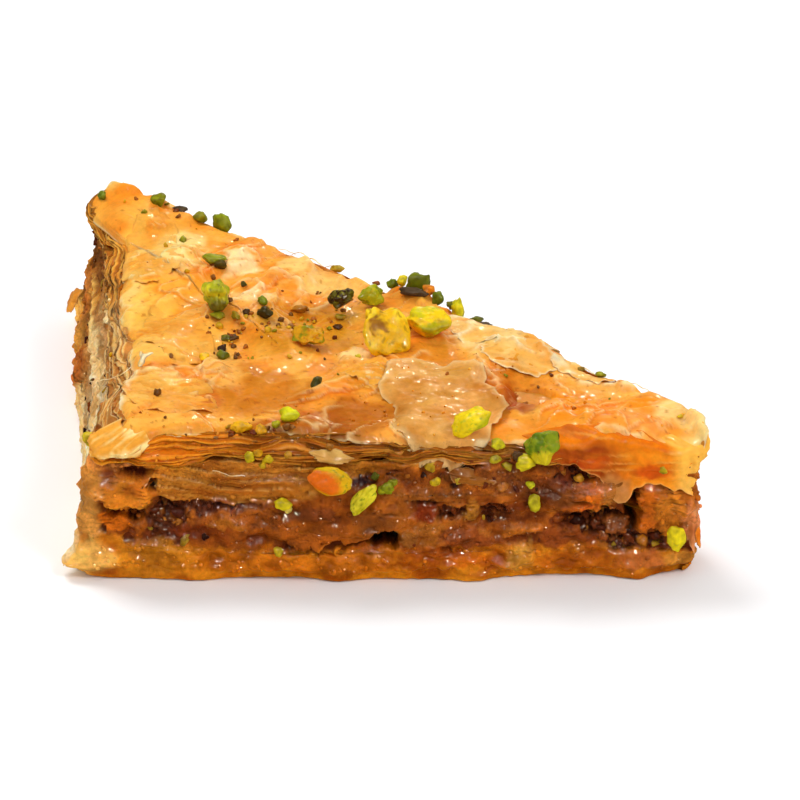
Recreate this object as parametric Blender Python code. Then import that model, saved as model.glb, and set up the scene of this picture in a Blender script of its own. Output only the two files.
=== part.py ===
"""A triangular piece of pistachio baklava at its real size, in metres, with +Z up.

Five layers run right through it: a base, a middle and a top stack of phyllo sheets, with a layer of chopped
nuts under and over the middle one. The largest bits of pistachio that lie on it or stick to its front are
solids of their own. The plan is half of a square of pastry that was cut along its diagonal, and its two sharp
tips are blunt. The cut faces lean outwards towards the base, because the dry top sheets shrink in the oven.

Shapes are worked out in millimetres from the right-angled corner of the top: x runs along the front cut,
y along the left cut and z up from the tray. The finished piece is centred over the origin.
"""

import math

import bmesh
import bpy
from mathutils import Matrix, Vector, noise
from mathutils.bvhtree import BVHTree

MM = 0.001

# Driving dimensions, in millimetres
LEG = 85.0  # the straight sides of the top, measured to sharp tips
HEIGHT = 20.0  # from the tray to the top sheet
SKEW = 5.4  # how far the left cut has run outwards by its far tip
FAR_END = 78.8  # where the far tip is blunt
TIP_ROUNDING = 1.5
FAR_TIP_ROUNDING = 2.2
GAP = 0.3  # between touching solids

# For each of the six levels, from the underside up to the top:
RIGHT_END = (76.8, 77.4, 77.4, 77.2, 77.0, 79.4)  # where the right tip is blunt
NEAR_LEFT_SPREAD = (2.9, 2.8, 2.4, 2.0, 1.0, 0.0)  # how far the left cut stands out at the corner
FAR_LEFT_SPREAD = (3.6, 3.4, 1.2, 1.0, 0.6, 0.0)  # and at the far tip
FRONT_SPREAD = (0.2, 0.4, 0.4, 0.4, 0.2, 0.0)
BELLY = (2.0, 1.5, 0.9, 0.5, 0.2, 0.0)  # how much more the front stands out around its middle
DIAGONAL_SPREAD = (1.8, 1.6, 1.2, 0.8, 0.3, 0.0)
RETREAT = (0.0, 0.0, 0.3, 0.9, 2.1, 3.8)  # how far the left edge has crumbled back
BELLY_X = 32.0
BELLY_WIDTH = 24.0
RETREAT_FROM, RETREAT_TO = 14.0, 70.0
RETREAT_DECAY = 10.0

# The top of the base, of the lower nuts, of the middle phyllo and of the upper nuts, away from the cut
INNER_LEVELS = (4.0, 9.6, 12.4, 16.0)
# The same four heights where they meet the front cut, at stations of x
FRONT_LEVELS = (
    (0.0, (6.3, 8.8, 14.0, 15.4)),
    (8.0, (4.3, 11.0, 14.6, 15.8)),
    (20.0, (3.8, 10.8, 15.0, 16.2)),
    (28.0, (3.8, 5.8, 14.6, 16.0)),
    (38.0, (3.8, 5.6, 11.6, 16.0)),
    (48.0, (3.9, 9.2, 12.0, 16.4)),
    (60.0, (4.0, 9.6, 12.2, 16.2)),
    (69.0, (3.9, 11.0, 12.4, 14.4)),
    (80.0, (3.6, 9.0, 11.8, 14.2)),
)
FRONT_REACH = 16.0  # how far in from the cut those heights are felt

SHEET_BULGE = 0.5  # a phyllo stack swells out between its neighbours
NUT_RECESS = -0.9  # loose nuts fall back from the cut
RAGGED = 0.45  # how unevenly they do so
CAVITY_X = 68.2  # where nuts have fallen out of the lower layer at the front
CAVITY_WIDTH = 3.8
CAVITY_DEPTH = 4.2

WANDER = 0.6  # how far an outline strays from straight
WANDER_LENGTH = 15.0
SWELL = 0.8  # blisters of the top sheets
SWELL_LENGTH = 17.0
# Rises of the top: where, how high and how wide
RISES = (
    ((-3.0, 78.0), 1.6, 9.0),
    ((57.0, 27.0), 1.5, 9.0),
    ((74.0, 9.0), 0.6, 8.0),
)
# The top sheets step down over the cuts: how far, and how wide that is
FRONT_DROOP = (1.3, 2.2)
LEFT_DROOP = (1.0, 2.0)
DIAGONAL_DROOP = (0.4, 1.4)
FOOT = 1.4  # the base sheet squeezed out at the right-angled corner

CELLS = 26  # grid cells along each side of a layer
UNDERSIDE, TOP = 0, 5  # the first and the last of the six levels

FRONT, LEFT, DIAGONAL = Vector((0, -1, 0)), Vector((-1, 0, 0)), Vector((1, 1, 0)).normalized()

# Each pistachio bit: where it lies, its size across, along and through, and how it is turned
ON_TOP = {
    "pistachio_big_green": ((14.2, 38.4), (3.9, 6.2, 3.7), (6, 0, 8)),
    "pistachio_dark": ((31.2, 38.8), (3.7, 3.4, 2.8), (0, 0, 40)),
    "pistachio_round_green": ((35.0, 39.8), (3.9, 4.2, 3.0), (0, 0, -30)),
    "pistachio_yellow": ((37.0, 26.6), (6.5, 6.6, 2.9), (36, 0, 16)),
    "pistachio_olive": ((42.7, 29.8), (6.6, 5.0, 3.2), (12, 0, -22)),
    "pistachio_crumbled": ((26.7, 28.4), (4.8, 4.6, 2.2), (8, 0, 15)),
    "pistachio_edge_yellow": ((48.1, 1.6), (5.9, 3.4, 3.6), (20, -26, 8)),
}
ON_FRONT = {
    "pistachio_orange": ((30.1, 14.7), (6.0, 2.6, 4.2), (0, 12, 0)),
    "pistachio_sliver": ((34.1, 12.2), (2.4, 2.0, 5.6), (0, 38, 0)),
    "pistachio_edge_green": ((57.2, 19.4), (4.7, 2.6, 5.6), (0, 10, 0)),
}
LUMPINESS = 0.22


def softly_under(value, limit, rounding):
    """The value, bent smoothly so that it never passes the limit."""
    return value - rounding * math.log1p(math.exp((value - limit) / rounding))


def smooth(low, high, value):
    t = min(max((value - low) / (high - low), 0.0), 1.0)
    return t * t * (3 - 2 * t)


def hill(value, centre, width):
    return math.exp(-(((value - centre) / width) ** 2))


def wander(x, y, z, length):
    """Smooth noise from -1 to 1 that repeats its hills about every length."""
    return noise.noise(Vector((x / length, y / length, z)))


def crumbling(y):
    """From 0 to 1, how far the left edge has crumbled back at y."""
    return smooth(RETREAT_FROM - 8, RETREAT_FROM + 8, y) - smooth(RETREAT_TO - 5, RETREAT_TO + 5, y)


def front_level(number, x):
    """The height of an inner level at the front cut."""
    for (x0, low), (x1, high) in zip(FRONT_LEVELS, FRONT_LEVELS[1:]):
        if x <= x1:
            return low[number] + (high[number] - low[number]) * smooth(x0, x1, x)
    return FRONT_LEVELS[-1][1][number]


def top_height(x, y):
    """The top sheet: blistered, with a few rises, and stepping down over the cuts."""
    z = HEIGHT + SWELL * wander(x, y, 3.1, SWELL_LENGTH) + 0.5 * SWELL * wander(x, y, 8.7, 0.4 * SWELL_LENGTH)
    for centre, rise, width in RISES:
        z += rise * math.exp(-((x - centre[0]) ** 2 + (y - centre[1]) ** 2) / width**2)
    from_left = x + SKEW * y / LEG - RETREAT[TOP] * crumbling(y)
    from_diagonal = (LEG - x - y) / math.sqrt(2)
    for inset, (drop, width) in ((y, FRONT_DROOP), (from_left, LEFT_DROOP), (from_diagonal, DIAGONAL_DROOP)):
        z -= drop * math.exp(-max(inset, 0.0) / width)
    return z


def height(level, x, y):
    if level == UNDERSIDE:
        return 0.0
    if level == TOP:
        return top_height(x, y)
    inner = INNER_LEVELS[level - 1] + 0.35 * wander(x, y, 5.3 * level, WANDER_LENGTH)
    felt = math.exp(-((max(y, 0.0) / FRONT_REACH) ** 2))
    return inner + (front_level(level - 1, x) - inner) * felt


def plan(level, u, v):
    """The point of a level's outline or inside at (u, v) of the unit triangle, as x and y."""
    front, near_left, far_left = FRONT_SPREAD[level], NEAR_LEFT_SPREAD[level], FAR_LEFT_SPREAD[level]
    reach = LEG + math.sqrt(2) * DIAGONAL_SPREAD[level]
    corner = Vector((-near_left, -front))
    right_tip = Vector((reach + front, -front))
    far_tip = Vector((-far_left - SKEW, reach + far_left))
    x, y = corner * (1 - u - v) + right_tip * u + far_tip * v
    x = softly_under(x, RIGHT_END[level], TIP_ROUNDING)
    y = softly_under(y, FAR_END, FAR_TIP_ROUNDING)
    y -= BELLY[level] * hill(x, BELLY_X, BELLY_WIDTH) * (1 - v) ** 4
    from_left = x - corner.x - (far_tip.x - corner.x) * v
    x += RETREAT[level] * crumbling(y) * math.exp(-from_left / RETREAT_DECAY)
    if level <= 1:
        x -= FOOT * math.exp(-((x - corner.x) ** 2 + (y - corner.y) ** 2) / 4.0**2)
    stray = WANDER * wander(x, y, 2.0 * level, WANDER_LENGTH), WANDER * wander(x, y, 2.0 * level + 40, WANDER_LENGTH)
    return x + stray[0], y + stray[1]


def level_point(level, u, v, lift=0.0):
    x, y = plan(level, u, v)
    return Vector((x, y, height(level, x, y) + lift))


def outward(u, v):
    """The level direction out of the cut face, or the corner, that (u, v) lies on."""
    tiny = 1e-4
    sides = [way for way, on in ((FRONT, v < tiny), (LEFT, u < tiny), (DIAGONAL, u + v > 1 - tiny)) if on]
    return sum(sides, Vector()).normalized()


def cavity(u, v, point):
    """How deep the hole in the lower nuts is at this point of the front cut."""
    return CAVITY_DEPTH * hill(point.x, CAVITY_X, CAVITY_WIDTH) if v < 1e-4 else 0.0


def principled(name, colour, roughness):
    material = bpy.data.materials.new(name)
    material.use_nodes = True
    shader = material.node_tree.nodes["Principled BSDF"]
    shader.inputs["Base Color"].default_value = (*colour, 1.0)
    shader.inputs["Roughness"].default_value = roughness
    material.diffuse_color = (*colour, 1.0)
    return material


def object_from(name, bm, material, collection):
    mesh = bpy.data.meshes.new(name)
    bm.to_mesh(mesh)
    bm.free()
    mesh.shade_smooth()
    mesh.set_sharp_from_angle(angle=math.radians(50))
    mesh.materials.append(material)
    made = bpy.data.objects.new(name, mesh)
    collection.objects.link(made)
    return made


def raise_cover(bm, cover):
    """Extrudes the faces one storey up and returns the new ones."""
    grown = bmesh.ops.extrude_face_region(bm, geom=cover)["geom"]
    moved = [part for part in grown if isinstance(part, bmesh.types.BMVert)]
    bmesh.ops.translate(bm, verts=moved, vec=(0, 0, 1))
    return [part for part in grown if isinstance(part, bmesh.types.BMFace)]


def stacked_triangle():
    """A closed block on the unit triangle: z is 0 on its floor, 1 on a ring half way up and 2 on its roof."""
    bm = bmesh.new()
    bm.faces.new([bm.verts.new(corner) for corner in ((0, 0, 0), (1, 0, 0), (0, 1, 0))])
    bmesh.ops.subdivide_edges(bm, edges=bm.edges[:], cuts=CELLS - 1, use_grid_fill=True)
    floor = bm.faces[:]
    half_way = raise_cover(bm, floor)
    raise_cover(bm, half_way)
    bmesh.ops.delete(bm, geom=half_way, context="FACES")
    bmesh.ops.recalc_face_normals(bm, faces=bm.faces[:])
    return bm


def layer(name, floor, bulge, material, collection, hollow=None):
    """A solid layer from the level floor to the next one up, with its cut faces bulging by bulge."""
    bm = stacked_triangle()
    for vert in bm.verts:
        u, v, storey = vert.co
        low = level_point(floor, u, v, 0.0 if floor == UNDERSIDE else GAP)
        high = level_point(floor + 1, u, v)
        if storey < 0.5:
            vert.co = low
        elif storey > 1.5:
            vert.co = high
        else:
            middle = (low + high) / 2
            depth = hollow(u, v, middle) if hollow else 0.0
            uneven = RAGGED * wander(middle.x, middle.y, 7.7 * floor, 0.3 * WANDER_LENGTH)
            vert.co = middle + outward(u, v) * (bulge + uneven - depth)
    bmesh.ops.triangulate(bm, faces=bm.faces[:])
    bmesh.ops.scale(bm, vec=(MM, MM, MM), verts=bm.verts[:])
    return object_from(name, bm, material, collection)


def nut_bit(name, size, turn, seed, material, collection):
    """A chopped bit of nut in millimetres about its own centre: a lumpy ellipsoid."""
    bm = bmesh.new()
    bmesh.ops.create_icosphere(bm, subdivisions=2, radius=0.5)
    for vert in bm.verts:
        way = vert.co.normalized()
        vert.co *= 1 + LUMPINESS * noise.noise(way * 1.3 + Vector((seed, 0, 0)))
    bmesh.ops.scale(bm, vec=size, verts=bm.verts[:])
    tilt = Matrix.Rotation(math.radians(turn[2]), 3, "Z") @ Matrix.Rotation(math.radians(turn[1]), 3, "Y")
    bmesh.ops.rotate(bm, matrix=tilt @ Matrix.Rotation(math.radians(turn[0]), 3, "X"), verts=bm.verts[:])
    bmesh.ops.scale(bm, vec=(MM, MM, MM), verts=bm.verts[:])
    return object_from(name, bm, material, collection)


def surfaces(layers):
    graph = bpy.context.evaluated_depsgraph_get()
    return [BVHTree.FromObject(made, graph) for made in layers]


def nearest_hit(trees, start, way):
    """The distance along way from start to the first surface, or None."""
    distances = [tree.ray_cast(start, way)[3] for tree in trees]
    found = [distance for distance in distances if distance is not None]
    return min(found) if found else None


def settle(bit, place, way, trees):
    """Puts the bit at place and moves it along way until it is GAP short of touching the layers."""
    back_off = 60 * MM
    start = Vector(place) * MM - way * back_off
    clear = []
    for vert in bit.data.vertices:
        distance = nearest_hit(trees, start + vert.co, way)
        if distance is not None:
            clear.append(distance)
    bit.location = start + way * (min(clear) - GAP * MM)


def centre(parts):
    """Moves the parts so that the middle of the underside of their box is the origin."""
    bpy.context.view_layer.update()
    corners = [part.matrix_world @ Vector(corner) for part in parts for corner in part.bound_box]
    low = Vector(min(corner[axis] for corner in corners) for axis in range(3))
    high = Vector(max(corner[axis] for corner in corners) for axis in range(3))
    middle = (low + high) / 2
    for part in parts:
        part.location -= Vector((middle.x, middle.y, low.z))


def main():
    for old in list(bpy.data.objects):
        bpy.data.objects.remove(old)
    collection = bpy.data.collections.new("baklava_piece")
    bpy.context.scene.collection.children.link(collection)

    soaked = principled("soaked_phyllo", (0.62, 0.27, 0.05), 0.25)
    filling = principled("nut_filling", (0.16, 0.05, 0.015), 0.35)
    golden = principled("golden_phyllo", (0.86, 0.47, 0.13), 0.35)
    pistachio = principled("pistachio", (0.50, 0.52, 0.05), 0.45)

    layers = [
        layer("phyllo_base", 0, SHEET_BULGE, soaked, collection),
        layer("nuts_lower", 1, NUT_RECESS, filling, collection, hollow=cavity),
        layer("phyllo_middle", 2, SHEET_BULGE, soaked, collection),
        layer("nuts_upper", 3, NUT_RECESS, filling, collection),
        layer("phyllo_top", 4, SHEET_BULGE, golden, collection),
    ]
    trees = surfaces(layers)

    bits = []
    for seed, (name, ((x, y), size, turn)) in enumerate(ON_TOP.items()):
        bit = nut_bit(name, size, turn, seed, pistachio, collection)
        settle(bit, (x, y, HEIGHT), Vector((0, 0, -1)), trees)
        bits.append(bit)
    for seed, (name, ((x, z), size, turn)) in enumerate(ON_FRONT.items(), start=len(ON_TOP)):
        bit = nut_bit(name, size, turn, seed, pistachio, collection)
        settle(bit, (x, 0, z), -FRONT, trees)
        bits.append(bit)

    centre(layers + bits)


main()
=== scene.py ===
"""Looks of the baklava piece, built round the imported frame.

Lengths here are millimetres from the right-angled corner of the top: x along the front cut, y away from it
and z up from the tray. They become metres in the row frame when a mesh is made.
"""

import math

import bmesh
import bpy
import numpy as np
from mathutils import Euler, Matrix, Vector
from mathutils.bvhtree import BVHTree


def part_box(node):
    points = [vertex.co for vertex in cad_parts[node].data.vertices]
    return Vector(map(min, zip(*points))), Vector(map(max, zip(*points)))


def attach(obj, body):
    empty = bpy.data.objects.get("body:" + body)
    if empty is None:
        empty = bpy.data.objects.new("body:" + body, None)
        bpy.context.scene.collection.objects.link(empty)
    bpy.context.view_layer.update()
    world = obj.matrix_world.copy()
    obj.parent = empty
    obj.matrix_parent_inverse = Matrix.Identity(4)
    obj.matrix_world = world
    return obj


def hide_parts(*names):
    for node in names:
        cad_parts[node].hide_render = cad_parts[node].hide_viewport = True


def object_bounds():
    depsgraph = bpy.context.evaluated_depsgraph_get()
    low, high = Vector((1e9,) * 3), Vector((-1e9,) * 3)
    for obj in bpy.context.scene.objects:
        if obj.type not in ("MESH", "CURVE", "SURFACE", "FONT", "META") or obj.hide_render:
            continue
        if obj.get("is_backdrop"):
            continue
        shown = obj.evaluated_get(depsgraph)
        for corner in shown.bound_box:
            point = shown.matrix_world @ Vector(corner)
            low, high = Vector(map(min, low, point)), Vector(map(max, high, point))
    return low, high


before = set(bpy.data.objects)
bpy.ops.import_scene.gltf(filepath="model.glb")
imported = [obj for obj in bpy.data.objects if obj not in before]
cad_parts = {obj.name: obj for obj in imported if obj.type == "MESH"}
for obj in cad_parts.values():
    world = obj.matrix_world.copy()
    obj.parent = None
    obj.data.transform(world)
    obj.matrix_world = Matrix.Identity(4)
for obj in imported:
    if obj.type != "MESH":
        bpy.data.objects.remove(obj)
cad_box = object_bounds()

MM = 0.001
# The layers, from the tray up
ORDER = ("phyllo_base", "nuts_lower", "phyllo_middle", "nuts_upper", "phyllo_top")
# The right-angled corner of the top, from the low corner of the top sheets' box
CORNER_INSET = (6.03, 0.95)
top_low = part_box("phyllo_top")[0]
CORNER = np.array((top_low.x / MM + CORNER_INSET[0], top_low.y / MM + CORNER_INSET[1], 0.0))


def rgb(red, green, blue):
    """An sRGB colour, 0 to 255, as linear light."""
    c = np.array((red, green, blue), float) / 255
    return np.where(c <= 0.04045, c / 12.92, ((c + 0.055) / 1.055) ** 2.4)


def smooth(low, high, value):
    """An eased step from 0 at low to 1 at high; it falls where low is the larger."""
    t = np.clip((value - low) / (high - low), 0.0, 1.0)
    return t * t * (3 - 2 * t)


def hill(value, centre, width):
    """A bump of height 1 round its centre."""
    return np.exp(-(((value - centre) / width) ** 2))


def mix(a, b, share):
    """Colours or points that go from a to b as the share goes from 0 to 1."""
    share = np.asarray(share)[..., None]
    return a * (1 - share) + b * share


# --- Noise -----------------------------------------------------------------------------------------------


class Noise:
    """Smooth gradient noise, about -0.7 to 0.7, for whole arrays of points."""

    def __init__(self, seed):
        rng = np.random.default_rng(seed)
        self.order = np.tile(rng.permutation(256), 2)
        ways = rng.normal(size=(256, 3))
        self.ways = ways / np.linalg.norm(ways, axis=1)[:, None]

    def __call__(self, x, y, z=0.0, size=1.0):
        p = np.stack(np.broadcast_arrays(x, y, z), -1).astype(float) / size
        cell = np.floor(p).astype(int)
        f = p - cell
        cell &= 255
        fade = f * f * f * (f * (f * 6 - 15) + 10)
        total = 0.0
        for dx in (0, 1):
            for dy in (0, 1):
                for dz in (0, 1):
                    key = self.order[self.order[(cell[..., 0] + dx) & 255] + ((cell[..., 1] + dy) & 255)]
                    way = self.ways[self.order[key + ((cell[..., 2] + dz) & 255)]]
                    share = 1.0
                    for axis, d in enumerate((dx, dy, dz)):
                        share = share * (fade[..., axis] if d else 1 - fade[..., axis])
                    total = total + share * (way * (f - (dx, dy, dz))).sum(-1)
        return total * 1.5

    def layered(self, x, y, z=0.0, size=1.0, octaves=3, gain=0.5):
        """The noise with finer and fainter copies of it added."""
        total, part = 0.0, 1.0
        for octave in range(octaves):
            total = total + part * self(x, y, np.asarray(z) + 17.3 * octave * size, size * 0.5**octave)
            part *= gain
        return total


noise_a, noise_b, noise_c, noise_d = (Noise(seed) for seed in (11, 22, 33, 44))
rng = np.random.default_rng(7)
# Colours below are as they look in the light; the pigment is deeper by these powers
PIGMENT = np.array((1.14, 1.17, 1.37))


# --- Meshes ----------------------------------------------------------------------------------------------


def make_mesh(name, points, faces, colours, material, wet):
    """A piece from points in millimetres, rows of corner indices, a colour and a wetness for each point."""
    points = np.asarray(points, float).reshape(-1, 3)
    mesh = bpy.data.meshes.new(name)
    sets = [np.asarray(f) for f in faces if len(f)]
    corners = np.concatenate([f.ravel() for f in sets])
    sizes = np.concatenate([np.full(len(f), f.shape[1]) for f in sets])
    mesh.vertices.add(len(points))
    mesh.vertices.foreach_set("co", ((points + CORNER) * MM).astype(np.float32).ravel())
    mesh.loops.add(len(corners))
    mesh.loops.foreach_set("vertex_index", corners.astype(np.int32))
    mesh.polygons.add(len(sizes))
    mesh.polygons.foreach_set("loop_start", np.concatenate([[0], np.cumsum(sizes)[:-1]]).astype(np.int32))
    mesh.polygons.foreach_set("loop_total", sizes.astype(np.int32))
    mesh.polygons.foreach_set("use_smooth", np.full(len(sizes), True))
    mesh.update(calc_edges=True)
    mesh.validate()
    rgba = np.ones((len(points), 4), np.float32)
    rgba[:, :3] = np.clip(np.asarray(colours, float).reshape(-1, 3), 0, 1) ** PIGMENT
    mesh.attributes.new("tone", "FLOAT_COLOR", "POINT").data.foreach_set("color", rgba.ravel())
    wetness = np.asarray(wet, np.float32).ravel()
    mesh.attributes.new("wet", "FLOAT", "POINT").data.foreach_set("value", wetness)
    mesh.materials.append(material)
    made = bpy.data.objects.new(name, mesh)
    bpy.context.scene.collection.objects.link(made)
    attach(made, "root")
    return made


def band_faces(rows, columns, closed=True, start=0):
    """Quads over a grid of points, rows by columns, whose last column joins the first when closed."""
    r = np.arange(rows - 1)[:, None]
    c = np.arange(columns if closed else columns - 1)[None, :]
    n = (c + 1) % columns
    a, b = start + r * columns + c, start + r * columns + n
    return np.stack([a, b, b + columns, a + columns], -1).reshape(-1, 4)


def fan_faces(ring, centre, flip=False):
    """Triangles from a closed ring of point indices to one centre point."""
    ring = np.asarray(ring)
    nxt = np.roll(ring, -1)
    order = (nxt, ring) if flip else (ring, nxt)
    return np.stack([order[0], order[1], np.full(len(ring), centre)], -1)


# --- The frame, measured -----------------------------------------------------------------------------------


def tree_of(node):
    """The node's mesh as a tree that rays can be cast at, in the scene's millimetres."""
    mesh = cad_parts[node].data
    verts = [Vector(v.co / MM) - Vector(CORNER) for v in mesh.vertices]
    return BVHTree.FromPolygons(verts, [p.vertices[:] for p in mesh.polygons])


trees = {layer: tree_of(layer) for layer in ORDER}
# Columns of points round the piece, one for each ray from its middle in plan
COLUMNS = 1080
CENTRE = np.array((23.5, 26.0))
# Length of the front cut
FRONT_LENGTH = 84.0
# Where the rays that measure the frame start: outside, above and below the piece
FAR = 120.0
ABOVE, BELOW = 60.0, -20.0


def cast(tree, start, way):
    """Where a ray meets the tree, or None."""
    hit = tree.ray_cast(Vector(start), Vector(way))[0]
    return None if hit is None else np.array(hit)


def fill_gaps(values):
    """Replaces missing values round a closed loop with the ones between their neighbours."""
    values = np.array(values, float)
    known = ~np.isnan(values)
    index = np.arange(len(values))
    return np.interp(index, index[known], values[known], period=len(values))


def bell_curve(width):
    """The reach and the shares of a bell curve that many cells wide."""
    reach = int(3 * width) + 1
    bell = np.exp(-0.5 * (np.arange(-reach, reach + 1) / width) ** 2)
    return reach, bell / bell.sum()


def relax(values, times):
    """Evens out a row of values or points, in place, with its ends held."""
    for _ in range(times):
        values[1:-1] = (values[:-2] + 2 * values[1:-1] + values[2:]) / 4


def blur_loop(values, width):
    """Smooths values round a closed loop, with a bell curve that many columns wide."""
    reach, bell = bell_curve(width)
    out = np.zeros_like(values, float)
    for shift, share in zip(range(-reach, reach + 1), bell):
        out += share * np.roll(values, shift, axis=-1)
    return out


def radius_at(node, angles, heights):
    """How far the node reaches from the centre, looking from outside at each angle and height."""
    found = []
    for angle, z in zip(angles, heights):
        way = np.array((math.cos(angle), math.sin(angle), 0.0))
        hit = cast(trees[node], (*(CENTRE + FAR * way[:2]), z), -way)
        found.append(np.nan if hit is None else (hit[:2] - CENTRE) @ way[:2])
    return fill_gaps(found)


def even_angles():
    """Angles whose rays meet the outline at even steps, closest at the front cut, from the right-angled corner."""
    angles = np.linspace(-math.pi, math.pi, 2400, endpoint=False)
    r = radius_at("phyllo_top", angles, np.full(len(angles), 17.4))
    start = math.atan2(-CENTRE[1], -CENTRE[0])
    order = np.argsort((angles - start) % (2 * math.pi))
    angles, r = ((angles - start) % (2 * math.pi))[order], blur_loop(r, 3)[order]
    points = r[:, None] * np.stack([np.cos(angles + start), np.sin(angles + start)], -1)
    steps = np.linalg.norm(np.roll(points, -1, axis=0) - points, axis=1)
    along = np.concatenate([[0], np.cumsum(steps)])
    even = np.interp(np.arange(COLUMNS), (0, 560, 800, COLUMNS), (0.0, FRONT_LENGTH, 199.0, along[-1]))
    return np.interp(even, along, np.append(angles, 2 * math.pi)) + start, even, along[-1]


theta, along, around = even_angles()
ways = np.stack([np.cos(theta), np.sin(theta)], -1)


class Rim:
    """The cut faces of one node, at every column: its low and high edge, and where its wall stands."""

    SHARES = np.array((0.1, 0.5, 0.9))

    def __init__(self, node):
        rough = radius_at(node, theta, np.full(COLUMNS, sum(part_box(node)[i].z for i in (0, 1)) / 2 / MM))
        low, high = [], []
        for column in range(COLUMNS):
            x, y = CENTRE + ways[column] * (rough[column] - 1.6)
            down = cast(trees[node], (x, y, ABOVE), (0, 0, -1))
            up = cast(trees[node], (x, y, BELOW), (0, 0, 1))
            high.append(np.nan if down is None else down[2])
            low.append(np.nan if up is None else up[2])
        self.low, self.high = blur_loop(fill_gaps(low), 5), blur_loop(fill_gaps(high), 5)
        walls = [radius_at(node, theta, self.low + s * (self.high - self.low)) for s in self.SHARES]
        self.walls = blur_loop(np.array(walls), 5)
        middle = CENTRE + ways * self.walls[1][:, None]
        tangent = np.roll(middle, -6, axis=0) - np.roll(middle, 6, axis=0)
        out = np.stack([tangent[:, 1], -tangent[:, 0]], -1)
        self.out = out / np.linalg.norm(out, axis=1)[:, None]

    def at(self, share, out=0.0):
        """Points at a share of the height, pushed out from the wall; share and out are rows by columns."""
        share, out = np.broadcast_arrays(np.asarray(share, float), out)
        lower = np.clip((share - 0.1) / 0.4, 0, 1)
        upper = np.clip((share - 0.5) / 0.4, 0, 1)
        a, b, c = self.walls
        radius = np.where(share < 0.5, a + (b - a) * lower, b + (c - b) * upper)
        plan = CENTRE + ways * radius[..., None] + self.out * out[..., None]
        z = self.low + (self.high - self.low) * share
        return np.concatenate([plan, z[..., None]], -1)


rims = {layer: Rim(layer) for layer in ORDER}
KNOT_HEIGHTS = np.array([rims[n].low + s * (rims[n].high - rims[n].low) for n in ORDER for s in Rim.SHARES])
KNOT_RADII = np.array([rims[n].walls[k] for n in ORDER for k in range(3)])
# The cut runs straight from the base to the top; the hollows that show in it are carved further down
for k in range(1, len(KNOT_RADII)):
    t = np.clip((KNOT_HEIGHTS[k] - KNOT_HEIGHTS[1]) / (KNOT_HEIGHTS[-3] - KNOT_HEIGHTS[1]), 0, 1)
    KNOT_RADII[k] = np.maximum(KNOT_RADII[k], KNOT_RADII[1] * (1 - t) + KNOT_RADII[-3] * t - 0.35)
relax(KNOT_RADII, 2)


def wall_at(columns, z, out=0.0):
    """Points of the cut faces at each column and height, through all five layers, pushed out by so much."""
    radius = KNOT_RADII[0][columns] * np.ones_like(z)
    for k in range(1, len(KNOT_RADII)):
        low, high = KNOT_HEIGHTS[k - 1][columns], KNOT_HEIGHTS[k][columns]
        t = np.clip((z - low) / np.maximum(high - low, 1e-3), 0, 1)
        radius = np.where(z > low, KNOT_RADII[k - 1][columns] * (1 - t) + KNOT_RADII[k][columns] * t, radius)
    normal = rims["phyllo_top"].out[columns]
    plan = CENTRE + ways[columns] * radius[..., None] + normal * np.asarray(out * np.ones_like(z))[..., None]
    return np.concatenate([plan, z[..., None]], -1)


# Height of the top, on a raster
CELL = 0.3
X0, Y0 = -14.0, -8.0
NX, NY = 328, 312


def blur2(values, width):
    """Smooths a raster both ways, with a bell curve that many cells wide."""
    reach, bell = bell_curve(width)
    for axis in (0, 1):
        pad = [(0, 0), (0, 0)]
        pad[axis] = (reach, reach)
        wide = np.pad(values, pad, mode="edge")
        values = sum(share * np.take(wide, range(k, k + values.shape[axis]), axis=axis)
                     for k, share in enumerate(bell))
    return values


def measure_top():
    """The height of the plain top on the raster, carried on beyond its edge."""
    step = 2
    xs, ys = X0 + CELL * np.arange(0, NX, step), Y0 + CELL * np.arange(0, NY, step)
    z = np.full((len(ys), len(xs)), np.nan)
    for j, y in enumerate(ys):
        for i, x in enumerate(xs):
            hit = cast(trees["phyllo_top"], (x, y, ABOVE), (0, 0, -1))
            if hit is not None:
                z[j, i] = hit[2]
    while np.isnan(z).any():
        padded = np.pad(z, 1, constant_values=np.nan)
        near = np.stack([padded[1 + dy : 1 + dy + z.shape[0], 1 + dx : 1 + dx + z.shape[1]]
                         for dy in (-1, 0, 1) for dx in (-1, 0, 1)])
        count = (~np.isnan(near)).sum(0)
        mean = np.nansum(near, 0) / np.maximum(count, 1)
        z = np.where(np.isnan(z) & (count > 0), mean, z)
    z = np.repeat(np.repeat(z, step, 0), step, 1)[:NY, :NX]
    return blur2(z, 2.0)


def on_raster(raster, x, y):
    """The raster's value at each point, between its cells."""
    i = np.clip((np.asarray(x) - X0) / CELL, 0, NX - 1.001)
    j = np.clip((np.asarray(y) - Y0) / CELL, 0, NY - 1.001)
    i0, j0 = i.astype(int), j.astype(int)
    fi, fj = i - i0, j - j0
    low = raster[j0, i0] * (1 - fi) + raster[j0, i0 + 1] * fi
    high = raster[j0 + 1, i0] * (1 - fi) + raster[j0 + 1, i0 + 1] * fi
    return low * (1 - fj) + high * fj


top_plain = measure_top()
FRONT_COLUMNS = np.count_nonzero(along < FRONT_LENGTH)


# --- Materials -------------------------------------------------------------------------------------------


def node(tree, kind, **values):
    """A shader node with these inputs, or settings, set."""
    made = tree.nodes.new(kind)
    for key, value in values.items():
        if key in made.inputs:
            made.inputs[key].default_value = value
        else:
            setattr(made, key, value)
    return made


def ramp(tree, source, low, high, start=0.0, end=1.0):
    """A socket that goes from low to high while the source goes from start to end."""
    made = node(tree, "ShaderNodeMapRange", **{"From Min": start, "From Max": end, "To Min": low, "To Max": high})
    tree.links.new(source, made.inputs["Value"])
    return made.outputs["Result"]


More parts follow.
